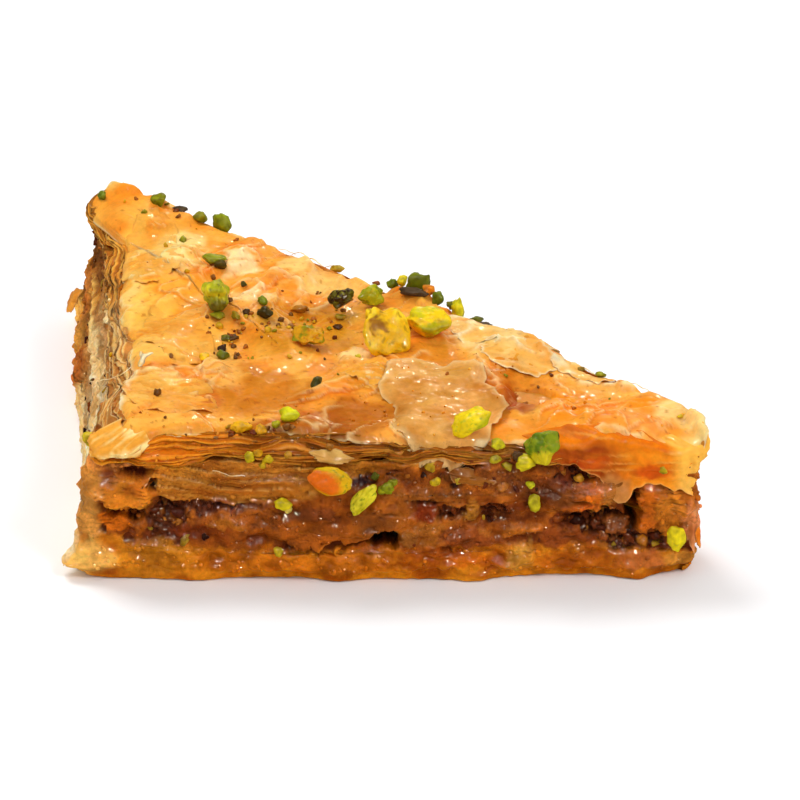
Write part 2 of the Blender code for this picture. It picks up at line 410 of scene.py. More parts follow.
def maths(tree, operation, first, second):
    """A socket with the result for two sockets, or for a socket and a number."""
    made = node(tree, "ShaderNodeMath", operation=operation)
    tree.links.new(first, made.inputs[0])
    if isinstance(second, float):
        made.inputs[1].default_value = second
    else:
        tree.links.new(second, made.inputs[1])
    return made.outputs["Value"]


def food_material(name, *, grain, bump, rough, wet_rough, scatter, reach, coat, specular,
                  mottle, speck=0.0, speck_colour=(0, 0, 0)):
    """Principled food: colour from the mesh, mottled by noise; wet places are smoother and coated."""
    material = bpy.data.materials.new(name)
    material.use_nodes = True
    tree = material.node_tree
    link = tree.links.new
    shader = tree.nodes["Principled BSDF"]
    tone = node(tree, "ShaderNodeAttribute", attribute_name="tone")
    wet = node(tree, "ShaderNodeAttribute", attribute_name="wet")
    place = node(tree, "ShaderNodeTexCoord")
    def texture(size, detail, roughness):
        made = node(tree, "ShaderNodeTexNoise", Scale=1 / (size * MM), Detail=detail, Roughness=roughness)
        link(place.outputs["Object"], made.inputs["Vector"])
        return made.outputs["Fac"]

    def relief(height, distance):
        made = node(tree, "ShaderNodeBump", Strength=1.0, Distance=distance * MM)
        link(height, made.inputs["Height"])
        return made.outputs["Normal"]

    both = maths(tree, "ADD", texture(grain, 4.0, 0.6), texture(grain * 5, 3.0, 0.55))
    half = maths(tree, "MULTIPLY", both, 0.5)
    tint = node(tree, "ShaderNodeVectorMath", operation="SCALE")
    link(tone.outputs["Color"], tint.inputs[0])
    link(ramp(tree, half, 1 - mottle, 1 + mottle, 0.3, 0.7), tint.inputs["Scale"])
    colour = tint.outputs["Vector"]
    if speck:
        cells = node(tree, "ShaderNodeTexVoronoi", Scale=1 / (grain * 2.2 * MM), Randomness=1.0)
        link(place.outputs["Object"], cells.inputs["Vector"])
        blend = node(tree, "ShaderNodeMix", data_type="RGBA")
        link(ramp(tree, cells.outputs["Distance"], speck, 0.0, 0.12, 0.26), blend.inputs["Factor"])
        link(colour, blend.inputs[6])
        blend.inputs[7].default_value = (*speck_colour, 1)
        colour = blend.outputs[2]
    link(colour, shader.inputs["Base Color"])

    link(ramp(tree, wet.outputs["Fac"], rough, wet_rough), shader.inputs["Roughness"])
    if coat:
        link(maths(tree, "MULTIPLY", wet.outputs["Fac"], coat), shader.inputs["Coat Weight"])
        link(relief(texture(grain * 4, 1.0, 0.5), 2.4 * bump), shader.inputs["Coat Normal"])
        shader.inputs["Coat Roughness"].default_value = 0.05
        shader.inputs["Coat IOR"].default_value = 1.4
    shader.inputs["Specular IOR Level"].default_value = specular
    shader.inputs["Subsurface Weight"].default_value = scatter
    shader.inputs["Subsurface Radius"].default_value = (1.0, 0.45, 0.16)
    shader.inputs["Subsurface Scale"].default_value = reach * MM
    link(relief(half, bump), shader.inputs["Normal"])
    return material


top_skin = food_material("phyllo_golden", grain=0.7, bump=0.14, rough=0.5, wet_rough=0.25, scatter=0.3,
                         reach=1.6, coat=0.4, mottle=0.2, specular=0.06)
strata_skin = food_material("phyllo_strata", grain=0.45, bump=0.12, rough=0.5, wet_rough=0.3, scatter=0.3,
                            reach=1.4, coat=0.6, mottle=0.28, specular=0.05)
soaked_skin = food_material("phyllo_soaked", grain=0.5, bump=0.26, rough=0.45, wet_rough=0.25, scatter=0.3,
                            reach=1.8, coat=1.0, mottle=0.34, specular=0.03)
flake_skin = food_material("phyllo_flake", grain=0.7, bump=0.1, rough=0.5, wet_rough=0.2, scatter=0.12,
                           reach=0.5, coat=0.45, mottle=0.2, specular=0.06)
nut_skin = food_material("nut_filling", grain=0.35, bump=0.3, rough=0.5, wet_rough=0.3, scatter=0.12,
                         reach=0.8, coat=0.8, mottle=0.5, specular=0.04)
pistachio_skin = food_material("pistachio_flesh", grain=0.5, bump=0.18, rough=0.5, wet_rough=0.3, scatter=0.1,
                               reach=0.4, coat=0.3, mottle=0.2, speck=0.22, speck_colour=(0.12, 0.10, 0.01),
                               specular=0.12)


# --- Colours and patches -------------------------------------------------------------------------------------

# Pale cream: the colour of dry sheet, and also of the painted highlights on rims and creases
CREAM = rgb(252, 236, 204)


def patch(u, v, place, radius, seed, ragged=0.3, turned=0.0):
    """A soft ragged oval: 1 inside it, 0 outside."""
    size = (max(radius) + min(radius)) / 2
    u = u + ragged * size * noise_c.layered(u, v, seed * 7.3, size * 0.9, 3) - place[0]
    v = v + ragged * size * noise_d.layered(u, v, seed * 9.1, size * 0.9, 3) - place[1]
    c, s = math.cos(math.radians(turned)), math.sin(math.radians(turned))
    return smooth(1.25, 0.7, np.hypot((u * c + v * s) / radius[0], (v * c - u * s) / radius[1]))


def paint_patches(tones, u, v, rows):
    """Paints soft ragged ovals of colour over what is there."""
    for seed, (place, radius, colour, strength, turned) in enumerate(rows):
        tones = mix(tones, rgb(*colour), strength * patch(u, v, place, radius, seed + 1, 0.35, turned))
    return tones


# --- The cut faces -------------------------------------------------------------------------------------------

# Lumps and hollows of the front cut: middle x and z, radii, turn, how far it stands out, colour, share, grain. The
# deep hollows and holes are coloured near-black: painted shade.
FRONT_SPOTS = (
    (20.0, 7.2, 16.0, 2.6, 0, 0.3, (158, 86, 34), 0.8, 0.0),
    (3.4, 11.9, 3.3, 2.6, 0, 1.0, (224, 142, 58), 0.95, 0.05),
    (4.6, 13.0, 1.5, 1.0, 20, 0.2, (200, 112, 44), 0.7, 0.1),
    (-1.8, 12.6, 2.4, 3.2, 0, 0.2, (222, 152, 84), 0.95, 0.0),
    (1.4, 16.4, 4.0, 1.1, 0, -0.2, (224, 146, 88), 0.9, 0.0),
    # A hollow and a spot below it, painted dark as shade
    (5.1, 15.0, 2.0, 0.6, -4, -1.3, (80, 30, 30), 0.95, 0.3),
    (7.0, 13.2, 0.7, 0.8, 0, -1.3, (30, 10, 10), 1.0, 0.3),
    (2.6, 9.1, 2.3, 0.6, -18, -1.1, (96, 32, 10), 0.95, 0.2),
    (0.3, 10.7, 0.5, 0.9, 0, -0.5, (124, 50, 18), 0.8, 0.1),
    (1.9, 8.0, 2.8, 1.0, -12, 0.25, (228, 126, 34), 0.9, 0.0),
    (-2.2, 8.2, 2.6, 2.8, 0, 0.1, (228, 162, 94), 0.95, 0.0),
    (0.3, 7.0, 0.6, 0.5, 0, -0.5, (96, 38, 22), 0.9, 0.3),
    (3.6, 5.7, 0.8, 0.5, 0, -0.4, (100, 40, 22), 0.9, 0.3),
    (4.9, 9.0, 1.0, 1.3, 0, -0.9, (60, 24, 22), 0.95, 1.0),
    (8.4, 8.4, 3.0, 2.4, 0, -0.7, (92, 44, 28), 0.92, 0.85),
    (12.5, 10.2, 4.5, 0.9, 0, -0.35, (86, 38, 26), 0.9, 0.8),
    (18.5, 10.2, 3.7, 0.6, 0, -0.4, (70, 30, 18), 0.9, 0.7),
    (5.3, 7.3, 0.8, 1.4, 0, 0.2, (196, 112, 42), 0.8, 0.1),
    (13.4, 6.8, 4.0, 1.5, 0, 0.1, (140, 62, 24), 0.85, 0.1),
    (9.5, 5.6, 2.4, 0.8, 0, -0.1, (112, 50, 26), 0.7, 0.5),
    (24.5, 7.3, 9.0, 2.3, 0, 0.45, (162, 90, 36), 0.9, 0.0),
    (28.4, 9.4, 3.2, 0.9, 0, 0.1, (128, 70, 46), 0.8, 0.0),
    (16.6, 8.0, 2.6, 0.6, 0, 0.2, (188, 118, 52), 0.7, 0.0),
    (20.0, 6.0, 2.4, 0.5, 10, -0.2, (130, 60, 22), 0.6, 0.0),
    (31.5, 4.8, 5.2, 0.34, 6, -0.8, (84, 32, 14), 0.9, 0.0),
    (24.6, 4.6, 1.4, 0.3, -8, -0.4, (122, 52, 18), 0.8, 0.0),
    # Two holes, painted near-black as shade
    (36.0, 5.7, 1.4, 0.8, 15, -2.6, (8, 2, 1), 1.0, 0.0),
    (37.7, 5.9, 1.3, 1.3, 0, -3.2, (4, 1, 1), 1.0, 0.0),
    (35.6, 8.3, 3.2, 2.0, 0, 0.35, (140, 82, 42), 0.85, 0.0),
    (39.0, 9.9, 0.9, 1.7, 0, 0.3, (158, 94, 40), 0.8, 0.1),
    (40.2, 5.9, 1.4, 1.1, 0, 0.35, (172, 112, 62), 0.8, 0.1),
    (42.6, 7.4, 2.0, 1.3, 0, 0.4, (188, 118, 58), 0.85, 0.15),
    (43.2, 5.2, 2.2, 0.9, 0, 0.3, (192, 120, 52), 0.8, 0.0),
    (42.3, 9.6, 1.4, 1.2, 0, 0.2, (152, 62, 30), 0.9, 0.3),
    (42.3, 11.0, 1.7, 0.35, 0, -0.6, (62, 22, 16), 0.9, 0.2),
    (42.5, 11.9, 6.0, 0.8, 0, 0.15, (152, 90, 42), 0.85, 0.0),
    (46.2, 9.5, 2.6, 1.0, 0, -0.55, (82, 38, 30), 0.95, 0.9),
    (48.4, 9.9, 0.9, 1.6, -10, 0.35, (192, 132, 62), 0.8, 0.1),
    (51.2, 9.6, 2.2, 1.4, 0, -0.55, (76, 34, 30), 0.95, 1.0),
    (42.4, 15.5, 0.9, 1.0, 0, -0.9, (46, 18, 16), 0.95, 0.8),
    (40.6, 14.4, 2.0, 1.2, 0, -0.1, (160, 88, 34), 0.85, 0.3),
    (37.6, 14.0, 1.8, 1.0, 0, 0.1, (172, 100, 40), 0.8, 0.1),
    (34.2, 14.0, 1.5, 1.1, 0, -0.9, (56, 22, 18), 0.95, 0.5),
    (47.0, 15.7, 2.4, 0.8, 0, -0.7, (78, 34, 26), 0.95, 0.8),
    (46.2, 14.1, 2.6, 1.0, 0, 0.1, (142, 86, 42), 0.85, 0.3),
    (46.0, 13.1, 0.5, 0.35, 0, -0.4, (62, 28, 40), 0.8, 0.0),
    (52.4, 14.2, 3.2, 1.6, 0, 0.1, (134, 76, 38), 0.85, 0.35),
    (48.2, 6.0, 4.0, 1.6, 0, 0.5, (150, 80, 46), 0.92, 0.0),
    (50.0, 6.9, 1.0, 0.5, -40, 0.2, (192, 122, 62), 0.6, 0.0),
    (44.8, 4.0, 2.6, 0.5, 0, -0.4, (104, 42, 22), 0.85, 0.0),
    (55.0, 6.9, 2.4, 0.7, 0, 0.35, (194, 118, 52), 0.9, 0.0),
    (54.0, 5.5, 1.6, 0.5, 0, -0.4, (122, 58, 26), 0.8, 0.1),
    (54.4, 2.9, 1.8, 1.9, 0, 0.35, (214, 154, 76), 0.85, 0.0),
    (55.9, 4.7, 0.35, 1.3, 0, 0.3, (198, 138, 72), 0.7, 0.0),
    (53.4, 8.7, 2.2, 0.9, 0, 0.0, (122, 62, 32), 0.8, 0.2),
    (57.6, 12.4, 3.4, 2.2, 0, 0.0, (120, 62, 36), 0.85, 0.2),
    (57.0, 16.0, 2.4, 1.2, 0, -0.2, (134, 74, 36), 0.8, 0.3),
    (61.5, 14.6, 2.4, 1.7, 0, -0.4, (116, 50, 28), 0.9, 0.5),
    (65.2, 16.2, 1.4, 0.6, 0, -0.6, (94, 36, 42), 0.9, 0.5),
    (63.4, 14.0, 1.0, 0.6, 0, -0.5, (86, 32, 22), 0.8, 0.5),
    (63.6, 12.3, 2.2, 1.4, 0, 0.6, (208, 114, 38), 0.9, 0.08),
    (60.6, 11.0, 2.0, 1.2, 0, 0.4, (152, 88, 46), 0.8, 0.15),
    (62.6, 10.1, 2.3, 0.8, 0, 0.5, (188, 98, 38), 0.85, 0.1),
    (66.6, 12.2, 1.7, 1.8, -35, 0.6, (178, 116, 60), 0.85, 0.0),
    (60.2, 8.2, 1.8, 1.2, 0, -0.1, (126, 58, 36), 0.85, 0.4),
    (64.8, 8.4, 4.2, 1.4, 0, -1.6, (44, 18, 18), 0.95, 0.9),
    # The deep cavity at the right, painted near-black as shade
    (68.9, 9.9, 1.1, 3.0, 6, -2.6, (14, 5, 6), 1.0, 0.2),
    (66.8, 7.5, 1.5, 1.0, 0, 0.6, (158, 92, 50), 0.9, 0.1),
    (60.0, 6.0, 3.6, 1.3, 0, 0.3, (144, 74, 40), 0.9, 0.05),
    (68.4, 5.3, 3.4, 1.3, 0, -0.7, (56, 26, 28), 0.95, 1.0),
    (72.2, 5.2, 1.6, 1.6, 0, -0.6, (54, 22, 26), 0.9, 0.8),
    (70.5, 4.9, 0.7, 0.8, 0, 0.4, (208, 134, 46), 0.9, 0.0),
    (71.3, 10.0, 1.8, 3.1, 0, 0.7, (204, 112, 40), 0.95, 0.0),
    (74.2, 9.0, 2.2, 3.4, 0, 0.6, (220, 138, 58), 0.9, 0.0),
    (76.7, 7.4, 1.1, 3.4, 0, 0.3, (206, 132, 96), 0.85, 0.0),
    (74.5, 4.2, 3.2, 0.8, 0, -0.2, (132, 54, 32), 0.9, 0.3),
    (75.4, 2.3, 2.6, 1.2, 0, 0.1, (212, 148, 78), 0.85, 0.0),
    (70.5, 2.4, 3.4, 1.5, 0, 0.2, (194, 116, 74), 0.85, 0.0),
    (62.0, 2.4, 6.0, 1.8, 0, 0.1, (184, 100, 32), 0.7, 0.0),
    (46.0, 2.8, 6.0, 1.6, 0, 0.1, (192, 98, 26), 0.7, 0.0),
    (-2.0, 2.6, 4.4, 2.8, 0, 0.3, (244, 190, 118), 0.9, 0.0),
    (7.5, 2.6, 5.6, 2.3, 0, 0.2, (222, 148, 54), 0.8, 0.0),
    (18.0, 2.8, 6.5, 2.0, 0, 0.1, (210, 124, 38), 0.8, 0.0),
    (30.0, 2.5, 8.0, 1.9, 0, 0.0, (204, 120, 36), 0.8, 0.0),
)
# How far in front of the cut the base meets the tray, along the front, in millimetres
FOOT_X = (-3.0, -1.5, 4.0, 13.3, 16.7, 27.0, 30.6, 34.5, 40.0, 47.0, 49.3, 51.5, 57.0, 65.0, 70.3, 72.0, 75.0, 77.5)
FOOT = (-0.3, 0.6, 1.0, 1.8, 0.8, 0.8, 2.4, 1.1, 1.1, 1.7, 2.3, 0.8, 0.0, -0.2, 2.0, 0.0, -1.2, -3.2)
FOOT_GRID = np.arange(-6.0, 84.0, 0.25)
FOOT_CURVE = np.interp(FOOT_GRID, FOOT_X, FOOT)
relax(FOOT_CURVE, 18)
# Height of one sheet in the front cut
SHEET_STEP = 0.62
# How far the skins of the layers start inside the measured cut
INSET = 0.3
# The lower edge of the sheets that show in the front cut
SHEETS_X, SHEETS_Z = (6.0, 8.0, 22.0, 28.0, 33.0, 38.0, 44.0), (14.5, 11.4, 11.0, 11.7, 13.6, 15.4, 16.2)


def layer_shares(columns, x, y, z):
    """How much each place is nuts, with ragged layer edges: lower nuts, upper nuts."""
    zw = z + 0.9 * noise_a.layered(x, y, z, 4.5, 3, 0.55)
    for layer in ("nuts_lower", "nuts_upper"):
        low, high = rims[layer].low[columns], rims[layer].high[columns]
        yield smooth(low - 0.25, low + 0.25, zw) * smooth(high + 0.25, high - 0.25, zw)


def cut_sheets(x, z):
    """The sheets that show in the front cut: how far each stands out, its tone, its lit top edge, painted as a
    highlight, and the groove, painted as shade.
    """
    field = (z + 0.2 * np.clip(x, 0, 16)) / SHEET_STEP + 0.9 * noise_c(x, z * 0.3, 71.0, 9.0)
    field = field + 0.3 * noise_d(x, z, 72.0, 3.0)
    sheet = np.floor(field)
    f = field - sheet
    out, above = (0.55 * noise_a(x, number * 17.3, 73.0, 7.0) + 0.3 * noise_b(x, number * 19.1, 74.0, 2.2)
                  for number in (sheet, sheet + 1))
    # The groove at the foot of each sheet: set back, and painted darker as shade
    shaded_groove = smooth(0.2, 0.0, f) * smooth(-0.25, 0.2, noise_d(x, sheet * 13.0, 75.0, 5.0))
    # Where a sheet stands out beyond the next, its top edge is painted lighter: a painted highlight
    lit_ledge = smooth(0.7, 1.0, f) * smooth(0.0, 0.25, out - above)
    tone = np.clip(0.5 + 0.9 * noise_c(x, sheet * 23.0, 76.0, 6.0), 0, 1)
    return out - 0.3 * shaded_groove, tone, lit_ledge, shaded_groove


# The same for the left cut, by y and z
LEFT_SPOTS = (
    (74.0, 12.0, 5.0, 2.0, 0, -0.4, (122, 76, 40), 0.9, 0.4),
    (78.0, 6.0, 4.0, 3.0, 0, -0.2, (150, 98, 46), 0.8, 0.2), (70.0, 8.5, 7.0, 1.4, 0, 0.3, (206, 130, 70), 0.9, 0.0),
    (66.0, 12.6, 6.0, 1.6, 0, -0.3, (136, 84, 50), 0.9, 0.3),
    (76.0, 16.6, 5.0, 1.6, 0, 0.2, (226, 144, 66), 0.8, 0.0),
    (62.0, 16.0, 6.0, 1.6, 0, -0.2, (168, 106, 54), 0.8, 0.0),
    (58.0, 10.0, 6.0, 1.4, 0, -0.3, (150, 94, 56), 0.8, 0.2),
    (52.0, 13.5, 7.0, 1.2, 0, -0.3, (156, 102, 66), 0.8, 0.1),
    (52.5, 5.6, 4.0, 2.6, 0, 0.9, (196, 106, 46), 0.9, 0.0), (64.0, 4.6, 3.0, 2.2, 0, 0.9, (244, 172, 92), 0.9, 0.0),
    (44.0, 8.6, 6.0, 1.3, 0, -0.3, (176, 118, 76), 0.7, 0.1),
    (40.0, 14.5, 7.0, 1.2, 0, -0.2, (190, 126, 80), 0.7, 0.0),
    (30.0, 11.0, 6.0, 1.2, 0, 0.0, (216, 150, 92), 0.6, 0.1),
    (24.0, 16.5, 6.0, 1.1, 0, -0.2, (214, 146, 86), 0.6, 0.0),
    (18.0, 7.5, 5.0, 1.4, 0, 0.0, (232, 168, 98), 0.6, 0.1),
    (10.0, 13.0, 5.0, 1.8, 0, 0.1, (254, 218, 162), 0.8, 0.0),
    (6.0, 17.0, 5.0, 1.8, 0, 0.2, (255, 222, 166), 0.8, 0.0),
)


def spot_masks(u, z, face, rows, first):
    """Each spot of one cut face with its share at every place, worked out only near the spot."""
    for seed, (px, pz, rx, rz, turned, *rest) in enumerate(rows):
        reach = 1.5 * max(rx, rz)
        near = (np.abs(u - px) < reach) & (np.abs(z - pz) < reach) & (face > 0)
        mask = np.zeros(u.shape)
        if near.any():
            mask[near] = patch(u[near], z[near], (px, pz), (rx, rz), seed + first, 0.4, turned) * face[near]
        yield mask, rest


def wall_look(columns, points):
    """How far each place of the cut faces stands out, its colour, wetness and share of nuts."""
    x, y, z = points[..., 0], points[..., 1], points[..., 2]
    front = smooth(6.0, 3.0, y) * smooth(-1.5, 1.0, x + 3.2)
    left = smooth(8.0, 3.0, x + 0.08 * y) * (1 - front)
    lower, upper = layer_shares(columns, x, y, z)
    shown = 0.12 + 0.4 * smooth(12, 36, y) + 0.2 * smooth(50, 70, y)
    nuts = np.clip(lower + upper, 0, 1) * (1 - 0.95 * front) * (1 - (1 - shown) * left)
    foot = smooth(1.8, 0.5, z) * front
    in_base = smooth(0.5, -0.5, z - rims["nuts_lower"].low[columns] - 0.5)
    edge_z = np.interp(x, SHEETS_X, SHEETS_Z) + 0.5 * noise_a(x, z, 77.0, 3.0)
    strata = front * smooth(-0.3, 0.3, z - edge_z) * smooth(5.6, 7.4, x) * smooth(46, 42, x)
    masks, stand = [], 0.0
    spots = (*spot_masks(x, z, front, FRONT_SPOTS, 40), *spot_masks(y, z, left, LEFT_SPOTS, 140))
    for mask, (bulge, colour, strength, grain) in spots:
        mask = mask * (1 - 0.8 * strata * (bulge > -0.8))
        masks.append((mask * strength, colour, grain))
        stand = stand + bulge * mask
        nuts = nuts * (1 - mask * strength) + grain * mask * strength
    nuts = nuts * (1 - strata)

    sheet_out, sheet_tone, lit_ledge, shaded_groove = cut_sheets(x, z)
    soft = noise_b.layered(x, y * (1 - 0.6 * left), z * 1.7, 4.4, 2)
    sheet = z / SHEET_STEP + 1.4 * noise_c(x, y, z * 0.4, 9.0) + 0.5 * noise_d(x, y, z, 3.0)
    line = np.abs((sheet % 1.0) - 0.5) * 2
    # Fine creases between the sheets: set back a little, and painted darker as shade
    shaded_crease = smooth(0.22, 0.0, line) * smooth(-0.1, 0.3, noise_d(x, y, z * 1.5 + 50, 4.0)) * (1 - 0.7 * in_base)
    shaded_crease = np.clip(shaded_crease + smooth(0.4, 0.0, line) * 0.4 * left, 0, 1) * (1 - strata)
    ooze = np.abs(noise_a.layered(x, y, z * 1.3 + 9, 2.6, 2, 0.4))
    beads = np.clip(noise_c(x, y, z * 1.2, 1.0) - 0.2, 0, 1)
    smooth_out = (0.5 * soft + 0.8 * ooze) * (1 - 0.7 * strata) - 0.24 * shaded_crease + 0.06 * noise_a(x, y, z, 0.8)
    smooth_out = smooth_out + 0.35 * beads * (1 - 0.8 * strata) + strata * (sheet_out - 0.1)
    cells = np.abs(noise_a.layered(x, y, z + 30, 1.3, 3, 0.7))
    grain_out = (1.3 * cells - 0.3 + 0.12 * noise_c(x, y, z, 0.5)) * (1 - 0.5 * left)
    stand = stand + smooth_out * (1 - nuts) + grain_out * nuts
    corner = hill(np.hypot(x + 3.6, y + 0.6), 0.0, 3.6) * (0.6 * hill(z, 1.7, 1.7) + 0.9 * hill(z, 1.6, 0.8))
    stand = stand * (1 - 0.7 * foot) + 1.35 * corner
    foot_out = y + np.interp(x, FOOT_GRID, FOOT_CURVE) + 0.25 * noise_d(x, y, 3.0, 1.5) + 0.25
    stand = stand + foot * (foot_out - 0.3 * stand) * smooth(77.5, 76.5, x) * smooth(-3.4, -2.4, x)

    high = np.clip(0.5 + soft + 0.4 * noise_d.layered(x, y, z * 1.6 + 7, 1.3, 2), 0, 1)
    base = mix(rgb(182, 98, 26), rgb(230, 150, 50), high)
    middle = mix(rgb(128, 62, 24), rgb(194, 114, 50), high)
    soaked = mix(middle, base, in_base)
    far = smooth(30, 62, y)
    # The left cut face gets a much paler, lit copy of the sheet colours, painted light; it turns more orange towards
    # the back
    side = mix(mix(rgb(254, 212, 156), rgb(255, 248, 222), high),
               mix(rgb(228, 152, 74), rgb(255, 208, 132), high), far)
    soaked = mix(soaked, side, left * 0.92)
    stand = stand - left * (0.9 - 0.6 * hill(y, 54, 12))
    # Painted shade in the creases
    soaked = mix(soaked, soaked * np.array((0.6, 0.47, 0.4)), (0.7 - 0.2 * left) * shaded_crease)
    sheets = mix(rgb(168, 96, 34), rgb(212, 146, 70), np.clip(0.55 * sheet_tone + 0.45 * high, 0, 1))
    golden = smooth(14.0, 8.0, x) * smooth(13.0, 15.5, z)
    sheets = mix(sheets, mix(rgb(214, 124, 36), rgb(240, 166, 70), sheet_tone), golden)
    # Painted highlight on the lit ledges, painted shade in the grooves between the sheets
    sheets = mix(mix(sheets, rgb(236, 184, 116), 0.55 * lit_ledge), sheets * np.array((0.62, 0.48, 0.36)), 0.85 * shaded_groove)
    nut_tone = mix(rgb(62, 24, 14), rgb(108, 52, 28), smooth(0.03, 0.2, cells))
    nut_tone = mix(nut_tone, rgb(146, 76, 36), smooth(0.15, 0.4, cells) * smooth(-0.2, 0.3, noise_b(x, y, z, 1.7)))
    nut_tone = mix(nut_tone, rgb(186, 118, 52), smooth(0.25, 0.5, cells) * smooth(0.1, 0.4, noise_c(x, y, z, 2.1)))
    tones = mix(soaked, nut_tone, nuts)
    for mask, colour, grain in masks:
        # Spot colours vary at random and are darkened in the creases as painted shade
        shade = rgb(*colour) * (0.72 + 0.56 * high[..., None]) * (1 - 0.45 * shaded_crease[..., None])
        speckled = mix(shade, nut_tone, grain * 0.5)
        tones = mix(tones, speckled, mask)
    tones = mix(tones, sheets, 0.92 * strata)
    wet = np.clip(0.7 + 0.6 * noise_d(x, y, z, 3.0) - 0.5 * left - 0.2 * strata, 0, 1)
    return stand, tones, wet, nuts


def band_look(node_name, rows):
    """The cut face of one node: its columns and rows of points, pushed out and coloured."""
    rim, number = rims[node_name], ORDER.index(node_name)
    low = (rims[ORDER[number - 1]].high + rim.low) / 2 - 0.25 if number else rim.low
    high = (rim.high + rims[ORDER[number + 1]].low) / 2 + 0.25
    z = low + np.linspace(0, 1, rows)[:, None] * (high - low)
    columns = np.broadcast_to(np.arange(COLUMNS), z.shape)
    flat = wall_at(columns, z)
    stand, tones, wet, _ = wall_look(columns, flat)
    points = wall_at(columns, z, stand - INSET)
    wobble = 0.25 * noise_c.layered(flat[..., 0], flat[..., 1], flat[..., 2], 1.6, 2)
    points[..., 2] = np.maximum(points[..., 2] + wobble * smooth(0.3, 1.5, z), rim.low.min())
    if not number:
        points[..., 2] += 1.2 * hill(np.hypot(flat[..., 0] + 4.6, flat[..., 1] + 1.0), 0, 2.4) * smooth(2.5, 0.0, z)
    return rim, points, tones, wet


def top_stack():
    """The cut face of the top layer as single sheets: each is a lip with a groove over it."""
    bx, by = top_mid[:, 0], top_mid[:, 1]
    steps = [np.exp(2.2 * noise_a(bx, by, 95.1 + 5.1 * k, 7.0)) for k in range(TOP_SHEETS)]
    shares = np.cumsum(np.concatenate([np.zeros((1, COLUMNS)), steps]), axis=0)
    shares = shares / shares[-1]
    rows, outs, lifts, tones, wets = [], [], [], [], []
    for k in range(TOP_SHEETS):
        low, high = shares[k], shares[k + 1]
        layer = 9.7 * k + 300
        gap = np.clip(SHEET_GAP * (1 + 1.6 * noise_b(bx, by, layer, 9.0)), 0.04, 0.85)
        lip = 0.4 * noise_a.layered(bx, by, k * 2.2 + 150, 9.0, 2) + 0.2 * noise_c.layered(bx, by, layer, 1.6, 3, 0.6)
        lip = lip - 0.9 * smooth(0.18, 0.42, noise_b(bx, by, k * 3.1 + 210, 6.5)) - stairs[k]
        ajar = smooth(-0.2, 0.35, noise_d(bx, by, layer * 0.6, 9.0))
        ajar = ajar * (1 - (0.5 * smooth(20, 8, bx) + 0.55 * hill(bx, 46, 9)) * smooth(5, 1, by))
        ajar = ajar * (1 - 0.5 * smooth(6, 2, bx + 0.06 * by) * smooth(4, 8, by))
        depth = 0.36 * (0.3 + 1.2 * gap / SHEET_GAP) * ajar
        curl = 0.2 * noise_c(bx, by, layer + 40, 5.0) * (k > 0)
        inside_gap = (high - low) * gap
        rows += [low + 0.5 * inside_gap, low + 0.52 * inside_gap, low + 0.5 * (high - low),
                 high - 0.52 * inside_gap, high - 0.5 * inside_gap]
        outs += [lip - depth, lip - 0.09, lip, lip - 0.11, lip - depth]
        lifts += [0 * curl, curl, curl, curl, 0 * curl]
        edge, body, shaded_groove = paint_top(bx, by, layer)
        # Groove rows take the darker colour, painted shade; the lip row takes the lighter edge colour, painted
        # highlight
        tones += [shaded_groove, body, edge, body, body if k == TOP_SHEETS - 1 else shaded_groove]
        wets += [np.clip(0.25 + 0.55 * (0.5 + noise_d(bx, by, layer, 4.0)), 0, 1)] * 5
    share = np.array(rows)
    sway = 5.2 / np.maximum(rim_top.high - rim_top.low, 1.0)
    wave = sway * share * (1 - share) * noise_b.layered(bx[None], by[None], share * 6 + 30, 11.0, 2)
    points = rim_top.at(np.clip(share + wave, 0, 1), np.array(outs))
    points[..., 2] += np.array(lifts)
    x, y, _ = np.moveaxis(points, -1, 0)
    rise = np.linspace(0, 1, len(points))[:, None]
    points[..., 2] = np.minimum(points[..., 2], on_raster(top_plain, x, y) - 0.25 - (1 - rise) * 0.6)
    points[..., 2] += (0.9 * noise_a(x, y, 80.0, 6.0) + 0.4 * noise_b(x, y, 81.0, 1.9)) * (1 - rise) ** 2
    return rim_top, points, np.array(tones), np.array(wets)


def close_stack(name, node_name, parts, material, flat_floor=False, roof_height=None):
    """Joins a layer's rim to an inner floor and roof, so that it is one closed surface."""
    rim, points, tones, wets = parts
    floor_rows, roof_rows = [], []
    for share in (0.14, 0.4, 0.75):
        for row, rows in ((0, floor_rows), (-1, roof_rows)):
            ring = rim.at(np.full((1, COLUMNS), float(row == -1)))[0]
            ring[:, :2] = CENTRE + (points[row, :, :2] - CENTRE) * (1 - share)
            if flat_floor and row == 0:
                ring[:, 2] = rim.low.min()
            if roof_height is not None and row == -1:
                ring[:, 2] = roof_height(ring[:, 0], ring[:, 1])
            rows.append(ring)
    stacked = np.concatenate([np.array(floor_rows[::-1]), points, np.array(roof_rows)])
    rows = len(stacked)
    centre_low = np.array([[*CENTRE, floor_rows[-1][:, 2].mean()]])
    centre_high = np.array([[*CENTRE, roof_rows[-1][:, 2].mean()]])
    every = np.concatenate([stacked.reshape(-1, 3), centre_low, centre_high])
    colour, wet = (np.concatenate([np.repeat(part[:1], 3, 0), part, np.repeat(part[-1:], 3, 0)])
                   for part in (tones, wets))
    colour = np.concatenate([colour.reshape(-1, 3), colour[0, :1], colour[-1, -1:]])
    wet = np.concatenate([wet.ravel(), wet[0, :1], wet[-1, -1:]])
    count = rows * COLUMNS
    faces = [band_faces(rows, COLUMNS), fan_faces(np.arange(COLUMNS), count, flip=True),
             fan_faces(np.arange((rows - 1) * COLUMNS, count), count + 1)]
    made = make_mesh(name, every, faces, colour, material, wet)
    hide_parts(node_name)


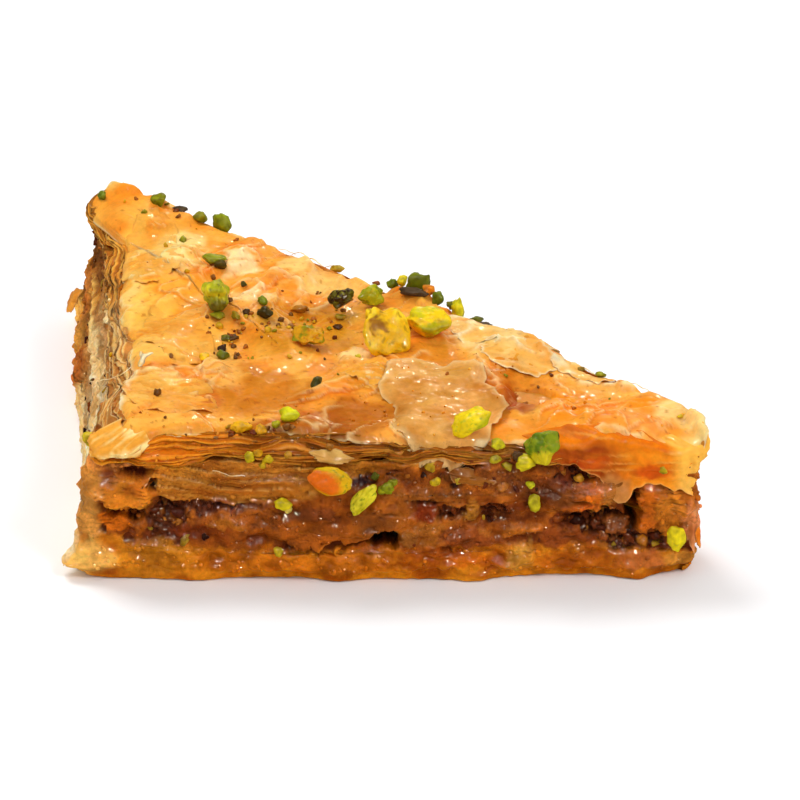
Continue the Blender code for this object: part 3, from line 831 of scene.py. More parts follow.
def paint_top(x, y, layer):
    """Colours of one sheet of the top stack: its edge, lighter as a painted highlight, its face, and the groove over
    it, darker as painted shade.
    """
    n = noise_c.layered(x, y, layer * 0.7, 5.0, 3)
    front = smooth(5.0, 1.5, y)
    left = smooth(6.0, 2.0, x + 0.06 * y) * (1 - front)
    golden = smooth(24.0, 10.0, x) * front
    glossy = smooth(54.0, 66.0, x)
    light = np.clip(0.5 + n, 0, 1)
    # The edge is painted a little lighter than the face, as a highlight; the groove darker, as shade
    edge = mix(mix(rgb(180, 104, 36), rgb(222, 154, 74), light), rgb(240, 158, 58), golden)
    body = mix(mix(rgb(166, 94, 30), rgb(206, 132, 54), light), rgb(236, 144, 40), golden)
    shaded_groove = mix(mix(rgb(150, 82, 24), rgb(188, 114, 38), light), rgb(210, 118, 24), golden)
    edge = mix(edge, mix(rgb(240, 140, 40), rgb(252, 186, 110), light), glossy)
    body = mix(body, mix(rgb(222, 104, 22), rgb(244, 140, 36), light), glossy)
    shaded_groove = mix(shaded_groove, rgb(184, 76, 14), glossy)
    # On the left cut face the sheets get a paler, lit copy of these colours, painted light, darker towards the back
    # (dusk) as painted shade
    dusk = smooth(40.0, 50.0, y)
    edge = mix(edge, mix(mix(rgb(234, 174, 110), rgb(254, 222, 170), light),
                         mix(rgb(228, 154, 76), rgb(250, 188, 106), light), dusk), left)
    body = mix(body, mix(mix(rgb(222, 152, 88), rgb(248, 192, 128), light),
                         mix(rgb(216, 140, 60), rgb(242, 168, 84), light), dusk), left)
    shaded_groove = mix(shaded_groove, mix(rgb(208, 142, 86), rgb(186, 116, 54), dusk), left)
    return edge, body, shaded_groove


rim_top = rims["phyllo_top"]
top_mid = rim_top.at(np.full((1, COLUMNS), 0.5))[0]
# Where the top sheet ends along the left cut: y and x
LEFT_Y = (0.0, 1.5, 5.0, 10.5, 17.3, 21.6, 24.2, 28.8, 35.1, 41.4, 46.5, 52.2, 59.4, 66.6, 71.6, 72.4)
LEFT_X = (-6.0, 0.6, 1.3, 2.4, 3.2, 3.7, 2.8, 2.6, 1.3, 0.2, 0.0, 0.8, 0.9, 0.6, 0.2, -9.0)


def left_pull():
    """How far the top sheet lies back from the left cut at each column."""
    edge = rim_top.at(np.full((1, COLUMNS), 1.0))[0]
    r = np.linalg.norm(edge[:, :2] - CENTRE, axis=1)
    pull, back = 0.0 * r, ways[:, 0] < -0.3
    for _ in range(4):
        y = CENTRE[1] + ways[:, 1] * (r - pull)
        wanted = np.interp(y, LEFT_Y, LEFT_X, left=-9.0, right=-9.0)
        pull = np.where(back, np.clip(r - (wanted - CENTRE[0]) / np.minimum(ways[:, 0], -0.3), 0, 10.0), 0)
    return blur_loop(pull, 3)


pulled = left_pull()
pulled_in = pulled * (ways * rim_top.out).sum(1)
# The top's separate sheets: how many, the gap between them, and how far each stands back
TOP_SHEETS, SHEET_GAP = 11, 0.30
retreat = smooth(8.0, 2.0, top_mid[:, 1]) * (0.15 + smooth(40, 34, top_mid[:, 0])
                                             * (0.8 + 0.5 * noise_b(top_mid[:, 0], 5.0, 3.0, 11.0)))
tucked = 1.3 * smooth(75.5, 78.5, top_mid[:, 0])
stairs = [3.0 * retreat * smooth(0.25, 1.0, k / (TOP_SHEETS - 1)) + pulled_in * k / (TOP_SHEETS - 1) + tucked
          for k in range(TOP_SHEETS)]


close_stack("base_sheets", "phyllo_base", band_look("phyllo_base", 40), soaked_skin, flat_floor=True)
close_stack("lower_nut_bed", "nuts_lower", band_look("nuts_lower", 30), nut_skin)
close_stack("middle_sheets", "phyllo_middle", band_look("phyllo_middle", 26), soaked_skin)
close_stack("upper_nut_bed", "nuts_upper", band_look("nuts_upper", 24), nut_skin)
close_stack("top_sheets", "phyllo_top", top_stack(), strata_skin,
            roof_height=lambda x, y: on_raster(top_plain, x, y) - 2.2)


# --- Chopped bits --------------------------------------------------------------------------------------------


def ball(level):
    """Corners and faces of a round ball, finer at each level."""
    bm = bmesh.new()
    bmesh.ops.create_icosphere(bm, subdivisions=level, radius=1.0)
    verts = np.array([v.co[:] for v in bm.verts])
    faces = np.array([[v.index for v in f.verts] for f in bm.faces])
    bm.free()
    return verts, faces


BALLS = {level: ball(level) for level in (2, 3, 5)}


def turn(count):
    """Random turns, one 3 by 3 matrix for each of count things."""
    q = rng.normal(size=(count, 4))
    q /= np.linalg.norm(q, axis=1)[:, None]
    w, x, y, z = q.T
    return np.stack([
        1 - 2 * (y * y + z * z), 2 * (x * y - z * w), 2 * (x * z + y * w),
        2 * (x * y + z * w), 1 - 2 * (x * x + z * z), 2 * (y * z - x * w),
        2 * (x * z - y * w), 2 * (y * z + x * w), 1 - 2 * (x * x + y * y)], -1).reshape(-1, 3, 3)


def crumbs_mesh(name, places, sizes, tones, wets, material, *, lump, facets, level=2, turns=None):
    """Many chopped crumbs as one mesh: lumpy balls with flats cut on them; with turns, each has three sizes."""
    verts, faces = BALLS[level]
    count = len(places)
    shapes = np.repeat(verts[None], count, 0)
    offset = rng.uniform(0, 200, (count, 1, 3))
    swell = noise_a.layered(*np.moveaxis(shapes + offset, -1, 0), 1.1, 2, 0.6)
    shapes = shapes * (1 + lump * swell[..., None])
    for _ in range(facets):
        way = rng.normal(size=(count, 1, 3))
        way /= np.linalg.norm(way, axis=-1)[..., None]
        cut = rng.uniform(0.45, 0.85, (count, 1))
        over = np.maximum((shapes * way).sum(-1) - cut, 0)
        shapes = shapes - 0.85 * over[..., None] * way
    if turns is None:
        stretch = rng.uniform(0.65, 1.25, (count, 1, 3))
        shapes = np.einsum("nij,nkj->nki", turn(count), shapes * stretch) * np.asarray(sizes)[:, None, None] / 2
    else:
        fine = noise_b.layered(*np.moveaxis(shapes + offset, -1, 0), 0.45, 2, 0.5)
        shapes = shapes * (1 + 0.1 * fine[..., None]) * np.asarray(sizes)[:, None, :] / 2
        c, s = np.cos(np.radians(turns)), np.sin(np.radians(turns))
        flat = np.stack([np.stack([c, -s], -1), np.stack([s, c], -1)], 1)
        shapes[..., :2] = np.einsum("nij,nkj->nki", flat, shapes[..., :2])
    points = shapes + np.asarray(places)[:, None, :]
    speckle = noise_b.layered(*np.moveaxis(points, -1, 0), 0.7, 2)
    colour = np.asarray(tones)[:, None, :] * (1 + 0.5 * speckle[..., None])
    wet = np.repeat(np.asarray(wets)[:, None], len(verts), 1)
    every = (faces[None] + len(verts) * np.arange(count)[:, None, None]).reshape(-1, 3)
    make_mesh(name, points, [every], colour, material, wet)


def nut_grains(name, node_name, count, seed):
    """Chopped nuts stuck in the cut face of a nut layer, thick where the look calls for nuts."""
    rim = rims[node_name]
    local = np.random.default_rng(seed)
    column = local.integers(0, COLUMNS, count)
    share = local.uniform(0.02, 0.98, count)
    thick = (rim.high - rim.low)[column]
    spot = wall_at(column, rim.low[column] + thick * share)
    stand, _, _, nuts = wall_look(column, spot)
    thin = 0.25 + 0.75 * smooth(2.0, 8.0, spot[:, 0] + 0.04 * spot[:, 1])
    keep = local.uniform(size=count) < nuts ** 1.4 * thin
    column, spot, thick, stand = column[keep], spot[keep], thick[keep], stand[keep]
    count = len(spot)
    size = np.minimum(np.clip(local.lognormal(-0.25, 0.45, count), 0.35, 1.7), 0.6 * thick + 0.2)
    spot[:, :2] += rim.out[column] * (stand - INSET - local.uniform(-0.1, 0.3, count) * size)[:, None]
    palette = np.array([rgb(58, 24, 20), rgb(88, 38, 24), rgb(112, 54, 30), rgb(140, 74, 36), rgb(178, 112, 52),
                        rgb(176, 140, 52)])
    pick = np.searchsorted(np.cumsum((0.22, 0.3, 0.22, 0.14, 0.08)), local.uniform(size=count))
    crumbs_mesh(name, spot, size, palette[pick], local.uniform(0.4, 1.0, count), nut_skin, lump=0.9,
                facets=5)


nut_grains("lower_nut_grains", "nuts_lower", 1900, 5)
nut_grains("upper_nut_grains", "nuts_upper", 1200, 6)


# --- The top sheet -------------------------------------------------------------------------------------------

# The plain triangle whose grid of points is stretched to the torn outline of the top
IDEAL = np.array(((-1.0, -0.6), (84.5, -0.6), (-3.5, 84.5)))
# How far the top sheet lies under the measured top, before its relief
TOP_INSET = 0.35


def top_relief(x, y):
    """Height over the plain top, how pale it is, how bright the painted highlight along torn edges and creases is,
    how much painted shade lies under steps and creases, and how wet.
    """
    warp_x = x + 1.4 * noise_a.layered(x, y, 3.0, 7.0, 2)
    warp_y = y + 1.4 * noise_b.layered(x, y, 4.0, 7.0, 2)
    u = 0.59 * warp_x + 0.81 * warp_y
    v = -0.81 * warp_x + 0.59 * warp_y
    height = 0.6 * noise_a.layered(u * 0.5, v, 11.0, 7.0, 2)
    ridge = 1 - np.abs(noise_b.layered(u * 0.4, v, 12.0, 6.0, 2, 0.4)) * 4.5
    ridge = np.clip(ridge, 0, 1) ** 1.5
    wrinkled = smooth(0.05, 0.35, noise_c(x, y, 13.0, 16.0) + 0.5 * hill(x, 26, 12) - 0.3 * hill(x, 6, 10))
    height = height + 0.35 * ridge * wrinkled
    pale, rim_light, shade = 0.25 * ridge * wrinkled, 0.0, 0.0
    rise, light = crease_marks(x, y)
    height = height + rise
    for seed, (place, radius, turned, high) in enumerate(SWELLS):
        height = height + high * patch(x, y, place, radius, seed + 220, 0.35, turned)
    for k in range(6):
        size = 15.0 + 4.0 * (k % 3)
        field = noise_d.layered(warp_x + 7 * k, warp_y * 1.2, 20.0 + 5 * k, size, 2, 0.4)
        field = field + 0.05 * noise_a.layered(x, y, 30.0 + k, 4.0, 3, 0.6)
        cut = 0.1 * (k % 4) - 0.1
        slope = (field - cut) * size
        visible = smooth(-0.1, 0.2, noise_b(x, y, 33.0 + k, 12.0))
        height = height + 0.28 * smooth(-0.10, 0.12, slope) * visible
        pale = pale + (0.22 if k % 2 else -0.15) * smooth(-0.15, 0.15, slope) * visible
        rim_light = np.maximum(rim_light, hill(slope, 0.22, 0.2) * visible)
        shade = np.maximum(shade, hill(slope, -0.4, 0.5) * visible)
    height = height + 0.05 * noise_c.layered(x, y, 14.0, 1.6, 3, 0.6)
    blister = np.clip(noise_a(x, y, 44.0, 3.2) - 0.25, 0, 1)
    height = height + 0.8 * blister * smooth(0.0, 0.3, noise_b(x, y, 45.0, 12.0))
    wet = np.clip(0.3 + 0.25 * smooth(40, 62, x) + 0.6 * noise_d(x, y, 46.0, 9.0), 0, 1)
    wet = wet * (1 - 0.8 * patch(x, y, (54.6, 12.4), (4.4, 5.0), 219))
    return height, pale, np.maximum(rim_light * 0.8, 1.9 * light), np.maximum(shade, -1.6 * light), wet


# Swells and hollows of the top: middle, radii, turn, how high
SWELLS = (
    ((-0.6, 81.0), (5.4, 4.0), 0, 1.5), ((2.4, 79.6), (2.2, 1.8), -42, 1.7), ((6.0, 76.4), (2.6, 1.8), -30, 0.3),
    ((6.0, 25.6), (3.6, 5.4), 8, 0.5), ((8.3, 60.0), (2.6, 6.0), -8, 0.45), ((13.0, 57.0), (2.0, 7.0), -30, -0.35),
    ((24.0, 50.0), (3.0, 4.6), -20, 0.45), ((19.0, 48.0), (2.4, 3.4), 30, 0.35), ((28.0, 46.0), (3.0, 2.4), 0, -0.3),
    ((30.0, 9.0), (8.0, 4.0), -6, -0.45), ((55.6, 11.6), (3.0, 5.4), 8, -0.8), ((60.0, 27.0), (7.0, 3.4), -42, 1.1),
    ((1.0, 22.0), (1.6, 15.0), 2, 0.35), ((79.0, 3.4), (2.6, 3.6), 0, 1.8), ((66.0, 2.6), (7.0, 1.6), 0, 0.3),
    ((64.0, 12.0), (4.4, 4.0), -20, -0.3), ((72.5, 9.0), (3.4, 2.6), -35, 0.3), ((51.5, 24.0), (3.0, 2.0), 20, 0.35),
    ((16.0, 20.0), (3.0, 6.0), 10, 0.25), ((33.0, 25.4), (2.2, 2.2), 0, 0.5), ((33.6, 17.6), (4.0, 2.6), -10, 0.35),
    ((39.0, 33.0), (4.4, 3.0), -20, 0.3), ((70.6, 15.6), (4.6, 2.6), -42, 1.0), ((43.0, 41.0), (6.0, 3.2), -42, 1.5),
    ((34.6, 47.8), (2.4, 1.8), -42, 0.9),
)
# Creases of the top: points, width, how far it stands up, how pale it is, painted as a highlight along the ridge (or
# dark, below nought, painted as shade beside a step)
CREASES = (
    (((15.0, 50.0), (17.4, 55.7), (19.5, 56.4)), 0.5, 0.5, 0.6),
    (((16.4, 40.8), (19.4, 45.1), (21.8, 42.2)), 0.45, 0.5, 0.8),
    (((16.2, 46.5), (18.5, 47.8), (20.1, 45.1)), 0.4, 0.4, 0.5),
    (((21.4, 50.0), (24.6, 47.8), (25.9, 42.2)), 0.45, 0.5, 0.6),
    (((22.3, 60.7), (25.4, 57.2), (27.2, 47.8)), 0.5, 0.5, 0.5), (((27.1, 39.5), (30.8, 42.2)), 0.5, 0.4, 0.6),
    (((23.5, 60.7), (25.3, 59.4), (28.1, 55.0)), 0.35, 0.3, 1.0), (((15.1, 64.3), (21.1, 62.9)), 0.35, 0.3, 0.6),
    (((3.3, 31.1), (4.1, 33.8), (6.4, 31.8), (7.2, 27.5)), 0.3, -0.25, -0.8),
    (((2.0, 3.4), (4.1, 6.3), (6.7, 10.3), (10.1, 11.0), (13.1, 11.7)), 0.4, -0.25, -0.6),
    (((3.4, 41.5), (5.0, 43.6)), 0.3, -0.15, -0.6), (((12.0, 20.0), (12.6, 26.0)), 0.3, -0.1, -0.4),
    (((48.8, 24.7), (50.9, 26.8), (55.0, 23.9), (59.5, 21.9)), 0.45, 0.4, 0.9),
    (((59.8, 22.6), (60.0, 16.8), (61.1, 14.1)), 0.35, 0.3, 0.5),
    (((59.9, 22.2), (62.8, 16.2), (67.4, 15.4), (70.0, 13.8)), 0.6, 0.3, 0.8),
    (((48.8, 24.0), (49.7, 21.1), (50.8, 16.8), (52.1, 14.7)), 0.35, 0.25, 0.5),
    (((45.1, 29.0), (48.9, 30.5)), 0.4, 0.3, 0.9), (((46.0, 34.8), (48.1, 33.3)), 0.35, 0.3, 0.8),
    (((3.6, 18.6), (2.8, 13.1), (1.3, 7.0)), 0.5, 0.4, 1.0),
    (((49.0, 0.6), (53.3, 1.0), (56.0, 1.6)), 0.35, 0.15, 0.7),
    (((60.0, 2.4), (64.0, 1.6), (70.0, 1.4), (75.0, 1.2)), 0.35, 0.15, 0.5),
)


def crease_marks(x, y):
    """How high and how pale the creases make each place of the top; the paleness is used as a painted highlight,
    below nought as painted shade.
    """
    wx, wy = x + 0.8 * noise_a.layered(x, y, 90.0, 2.4, 2), y + 0.8 * noise_b.layered(x, y, 91.0, 2.4, 2)
    rise = pale = 0.0
    for line, width, high, light in CREASES:
        best = np.full(np.shape(x), 99.0)
        for (ax, ay), (bx, by) in zip(line, line[1:]):
            t = ((wx - ax) * (bx - ax) + (wy - ay) * (by - ay)) / ((bx - ax) ** 2 + (by - ay) ** 2)
            t = np.clip(t, 0, 1)
            best = np.minimum(best, np.hypot(wx - ax - t * (bx - ax), wy - ay - t * (by - ay)))
        mark = hill(best, 0, width) * smooth(-0.5, 0.1, noise_c(x, y, 92.0, 1.8))
        rise, pale = rise + high * mark, pale + light * mark
    return rise, pale


# Places of the top with a colour of their own: middle (x, y), radii, colour, share, turn; the darker orange in the
# hollow near (55, 12) is painted shade
TOP_PATCHES = (
    ((-0.5, 80.5), (5.2, 3.4), (252, 200, 126), 0.85, 0), ((1.6, 75.0), (4.6, 2.6), (242, 152, 58), 0.85, -20),
    ((3.0, 58.0), (3.0, 15.0), (250, 190, 102), 0.7, 2), ((8.0, 59.0), (3.6, 7.0), (244, 222, 164), 0.9, -8),
    ((13.0, 60.0), (2.2, 7.0), (244, 160, 70), 0.7, -28), ((1.6, 46.0), (1.6, 15.0), (252, 216, 150), 0.7, 0),
    ((9.0, 44.0), (6.0, 6.0), (250, 176, 70), 0.8, 0), ((4.4, 39.0), (3.6, 5.0), (252, 200, 112), 0.7, 0),
    ((6.0, 26.0), (4.0, 5.6), (252, 198, 118), 0.8, 8), ((10.6, 31.0), (1.0, 5.0), (244, 160, 70), 0.7, -20),
    ((7.6, 17.0), (2.6, 3.0), (250, 206, 136), 0.7, 0), ((13.0, 27.0), (4.0, 7.0), (248, 186, 104), 0.7, 0),
    ((5.0, 7.6), (9.0, 1.5), (238, 150, 54), 0.7, 18), ((9.0, 12.6), (7.0, 1.4), (252, 194, 110), 0.7, 22),
    ((9.0, 5.0), (8.0, 1.5), (252, 190, 104), 0.6, 8), ((17.0, 54.0), (2.0, 4.0), (252, 232, 190), 0.7, 30),
    ((19.0, 42.0), (3.0, 3.0), (252, 226, 180), 0.6, 20), ((24.0, 52.0), (2.2, 5.0), (252, 214, 150), 0.7, -25),
    ((21.6, 47.0), (1.5, 4.0), (246, 156, 64), 0.8, -25), ((17.0, 46.8), (3.0, 1.2), (248, 160, 66), 0.7, 30),
    ((27.6, 48.0), (3.0, 2.6), (250, 196, 132), 0.7, 0), ((24.4, 43.0), (3.4, 1.6), (240, 156, 60), 0.6, 0),
    ((30.0, 53.0), (3.0, 3.0), (244, 170, 100), 0.6, 0), ((14.4, 63.6), (5.0, 1.6), (250, 182, 96), 0.6, -25),
    ((26.0, 33.0), (7.0, 8.0), (206, 140, 32), 0.75, 0), ((20.0, 14.6), (8.0, 7.0), (208, 132, 44), 0.9, 0),
    ((15.4, 20.0), (3.0, 6.0), (244, 186, 112), 0.7, 8), ((25.6, 22.0), (2.0, 7.0), (240, 176, 92), 0.7, 0),
    ((33.0, 6.0), (7.4, 5.0), (186, 110, 28), 0.9, 0), ((26.0, 3.0), (7.0, 3.0), (176, 106, 28), 0.8, 0),
    ((34.0, 16.6), (4.6, 3.2), (228, 158, 62), 0.8, -10), ((33.0, 25.4), (2.4, 2.2), (252, 214, 160), 0.8, 0),
    ((30.0, 20.6), (1.6, 4.0), (232, 150, 66), 0.6, 0), ((38.0, 34.0), (5.0, 3.0), (214, 150, 76), 0.6, -20),
    ((43.0, 24.0), (5.0, 3.0), (214, 140, 56), 0.8, -10), ((34.0, 46.0), (5.0, 3.0), (240, 180, 108), 0.6, -30),
    # The second patch here darkens the hollow near (55, 12): painted shade
    ((53.6, 15.0), (4.4, 6.0), (210, 124, 36), 0.95, -8), ((55.4, 11.8), (3.2, 4.4), (180, 84, 12), 1.0, 8),
    ((57.6, 8.6), (2.6, 1.4), (208, 136, 84), 0.6, 0), ((51.0, 29.0), (6.0, 3.2), (250, 214, 158), 0.8, -24),
    ((60.0, 27.0), (5.4, 2.4), (248, 190, 118), 0.8, -42), ((52.0, 24.2), (4.0, 1.6), (248, 206, 142), 0.6, 10),
    ((57.6, 17.6), (3.4, 4.0), (240, 160, 72), 0.7, 0), ((63.4, 19.4), (3.4, 1.6), (250, 206, 144), 0.7, -36),
    ((62.0, 9.6), (6.0, 4.6), (242, 150, 36), 0.9, 0), ((69.0, 6.0), (6.0, 4.0), (246, 150, 40), 0.85, 0),
    ((66.0, 14.0), (4.4, 1.6), (246, 186, 116), 0.7, -30), ((70.0, 12.6), (3.0, 1.6), (250, 188, 108), 0.6, -36),
    ((68.0, 17.6), (3.4, 1.2), (226, 160, 100), 0.8, -42), ((76.0, 4.6), (4.4, 4.8), (253, 212, 150), 0.9, 0),
    # The second patch here darkens the same hollow: painted shade
    ((80.0, 2.0), (4.0, 3.4), (254, 216, 156), 0.8, 0), ((54.5, 11.6), (2.4, 3.8), (172, 80, 8), 0.8, 0),
    ((6.0, 11.0), (6.0, 6.0), (250, 194, 116), 0.5, 0), ((8.6, 58.0), (3.0, 7.0), (253, 212, 142), 0.5, 0),
    ((30.0, 47.0), (5.0, 3.6), (246, 204, 136), 0.5, 0), ((72.6, 2.4), (4.6, 1.6), (252, 158, 50), 0.8, 0),
)


def top_tones(x, y, pale=0.0, rim_light=0.0, shade=0.0):
    """The colour of each place of the top: golden, with patches, painted highlights on rims, painted shade under
    folds, and specks.
    """
    n = noise_b.layered(x, y, 50.0, 5.0, 2)
    tones = mix(rgb(236, 142, 50), rgb(244, 178, 92), np.clip(0.5 + pale + 0.7 * n, 0, 1))
    tones = paint_patches(tones, x, y, TOP_PATCHES)
    tones = mix(tones, tones * np.array((0.86, 0.60, 0.38)), np.clip(np.asarray(shade) * 0.6, 0, 1))
    tones = mix(tones, CREAM, np.clip(rim_light * 0.4 + 0.35 * np.clip(pale - 0.1, 0, 1), 0, 0.8))
    speck = smooth(0.56, 0.66, noise_c.layered(x, y, 61.0, 0.9, 2))
    return mix(tones, rgb(160, 74, 30), 0.45 * speck)


def top_outline():
    """How far the top sheet reaches from the centre at each column, torn at its edge."""
    edge = rim_top.at(np.full((1, COLUMNS), 1.0))[0]
    x, y = edge[:, 0], edge[:, 1]
    torn = 0.55 * noise_a.layered(x, y, 70.0, 6.0, 2) + 0.35 * noise_b.layered(x, y, 71.0, 1.8, 3, 0.6)
    r = np.linalg.norm(edge[:, :2] - CENTRE, axis=1)
    behind = smooth(540, 580, np.arange(COLUMNS)) * smooth(815, 795, np.arange(COLUMNS))
    return r + 0.1 + torn - 2.9 * retreat - pulled + behind * (0.45 - 0.5 * np.minimum(torn, 0))


OUTLINE = top_outline()


def edge_at(ray):
    """How far the top sheet reaches along each ray from the centre."""
    turned = (np.arctan2(ray[..., 1], ray[..., 0]) - theta[0]) % (2 * math.pi)
    return np.interp(turned, (theta - theta[0]) % (2 * math.pi), OUTLINE, period=2 * math.pi)


def ideal_reach(ray):
    """How far the plain triangle reaches along each ray from the centre."""
    way = ray / np.maximum(np.linalg.norm(ray, axis=-1), 1e-9)[..., None]
    best = np.full(len(ray), np.inf)
    for k in range(3):
        a, b = IDEAL[k], IDEAL[(k + 1) % 3]
        normal = np.array((b[1] - a[1], a[0] - b[0]))
        share = way @ normal
        t = ((a - CENTRE) @ normal) / np.where(np.abs(share) < 1e-9, 1e-9, share)
        best = np.minimum(best, np.where(share > 1e-9, t, np.inf))
    return best


def top_sheet():
    """The torn, wrinkled sheet on top, with an underside that reaches in from its edge."""
    steps = 368
    i, j = np.meshgrid(np.arange(steps + 1), np.arange(steps + 1), indexing="ij")
    inside = i + j <= steps
    number = np.full((steps + 1, steps + 1), -1)
    number[inside] = np.arange(inside.sum())
    a, b = i[inside] / steps, j[inside] / steps
    plan = IDEAL[0] + a[:, None] * (IDEAL[1] - IDEAL[0]) + b[:, None] * (IDEAL[2] - IDEAL[0])
    ray = plan - CENTRE
    outline, ideal = edge_at(ray), ideal_reach(ray)
    share = np.linalg.norm(ray, axis=1) / ideal
    x, y = (CENTRE + ray * (outline / ideal)[:, None]).T
    height, pale, rim_light, shade, wet = top_relief(x, y)
    near = (1 - share) * outline
    droop = 0.9 * hill(near, 0.0, 0.9) * (1 - 0.6 * smooth(71, 76, x))
    z = on_raster(top_plain, x, y) - TOP_INSET + height - droop
    tones = top_tones(x, y, pale, rim_light, shade)
    # Paler cream along the torn edge: a painted highlight on the rim
    tones = mix(tones, mix(tones, CREAM, 0.5), hill(near, 0.0, 0.35))
    k = np.arange(steps)
    ring = np.concatenate([number[k, 0], number[steps - k, k], number[0, steps - k]])
    here, right, up, across = number[:-1, :-1], number[1:, :-1], number[:-1, 1:], number[1:, 1:]
    faces = [np.stack([here, right, up], -1)[(i + j < steps)[:-1, :-1]],
             np.stack([right, across, up], -1)[(i + j < steps - 1)[:-1, :-1]]]
    top = np.stack([x, y, z], -1)
    under = []
    count, last = len(top), ring
    for inset, drop in ((0.15, 0.22), (2.5, 0.7), (9.0, 0.9)):
        r = top[ring, :2] - CENTRE
        length = np.linalg.norm(r, axis=1)[:, None]
        spot = CENTRE + r * (1 - inset / length)
        roof = top[ring, 2] if inset < 1 else on_raster(top_plain, *spot.T) - TOP_INSET
        under.append(np.column_stack([spot, roof - drop]))
        fresh = count + np.arange(len(ring))
        faces.append(np.stack([last, fresh, np.roll(fresh, -1), np.roll(last, -1)], -1))
        count, last = count + len(ring), fresh
    under.append(np.array([[*CENTRE, on_raster(top_plain, *CENTRE) - 1.3]]))
    faces.append(fan_faces(last, count, flip=True))
    every = np.concatenate([top, *under])
    extra = len(every) - len(top)
    tones = np.concatenate([tones, np.repeat(rgb(214, 140, 66)[None], extra, 0)])
    made = make_mesh("top_sheet", every, faces, tones, top_skin, np.concatenate([wet, np.full(extra, 0.3)]))


top_sheet()
# What lies highest at each cell of the raster, as flakes are added
xs, ys = np.meshgrid(X0 + CELL * np.arange(NX), Y0 + CELL * np.arange(NY))
surface = top_plain - TOP_INSET + top_relief(xs, ys)[0]


# --- Flakes --------------------------------------------------------------------------------------------------


def polar(rows=15):
    """A disc of points: distance from the middle and angle, rows from the middle outwards."""
    reach = np.linspace(0, 1, rows + 1)[1:] ** 0.8
    return np.meshgrid(reach, np.linspace(0, 2 * math.pi, 112, endpoint=False), indexing="ij")


def oval(place, radius, turned, spread, angle):
    """Points of a turned oval at a share of its radii and an angle, and the turn's cosine and sine."""
    c, s = math.cos(math.radians(turned)), math.sin(math.radians(turned))
    u, v = radius[0] * spread * np.cos(angle), radius[1] * spread * np.sin(angle)
    return place[0] + u * c - v * s, place[1] + u * s + v * c, c, s


def torn_edge(angle, seed, torn):
    """The outline of a torn flake: how far it reaches at each angle, about 1."""
    c, s = np.cos(angle), np.sin(angle)
    far = noise_a.layered(1.1 * c, 1.1 * s, seed * 3.7, 1.0, 2, 0.5)
    fine = noise_b.layered(c, s, seed * 5.3, 0.24, 3, 0.6)
    return 1 + 1.3 * torn * far + 0.35 * torn * fine


def shell_mesh(name, grid, normal, thickness, heart, tones, wet):
    """A thin closed sheet from a polar grid of points: both faces and the torn rim between them."""
    rows, columns = grid.shape[:2]
    under, count = grid - normal * thickness, rows * columns
    every = np.concatenate([grid.reshape(-1, 3), under.reshape(-1, 3), [heart, heart - normal * thickness]])
    faces = [band_faces(rows, columns), band_faces(rows, columns, start=count)[:, ::-1],
             fan_faces(np.arange(columns), 2 * count, flip=True),
             fan_faces(count + np.arange(columns), 2 * count + 1)]
    outer = np.arange((rows - 1) * columns, rows * columns)
    faces.append(np.stack([outer, np.roll(outer, -1), np.roll(outer, -1) + count, outer + count], -1)[:, ::-1])
    tones = tones.reshape(-1, 3)
    # The underside is painted a tenth darker, as shade
    tones = np.concatenate([tones, tones * 0.9, tones[:1], tones[:1]])
    wet = np.clip(wet, 0, 1).reshape(-1)
    wet = np.concatenate([wet, wet, wet[:1], wet[:1]])
    make_mesh(name, every, faces, tones, flake_skin, wet)


def flake_tones(x, y, reach, seed, inner, edge, rim):
    """The colour of a flake: blotched, from its inner colour to its edge, with a painted highlight along the rim."""
    blotch = noise_c.layered(x, y, seed * 11.0, 4.0, 3)
    tones = mix(inner, edge, np.clip(0.45 + blotch * 1.1 + 0.35 * (reach - 0.5), 0, 1))
    # Painted highlight along the rim
    return mix(tones, CREAM, rim * smooth(0.92, 1.0, reach + 0.02 * blotch))


def settle_top(x, y, z):
    """Bends what reaches over the edge of the top down along the cut face."""
    ray = np.stack([x, y], -1) - CENTRE
    reach = np.linalg.norm(ray, axis=-1)
    over = np.maximum(reach - edge_at(ray) + 0.6, 0)
    bent = np.where(over > 0, reach - over + 0.55 * (1 - np.exp(-over / 0.5)) + 0.12 * over, reach)
    plan = CENTRE + ray * (bent / np.maximum(reach, 1e-6))[..., None]
    return np.concatenate([plan, (z - np.maximum(over - 0.45, 0) * 0.9)[..., None]], -1)


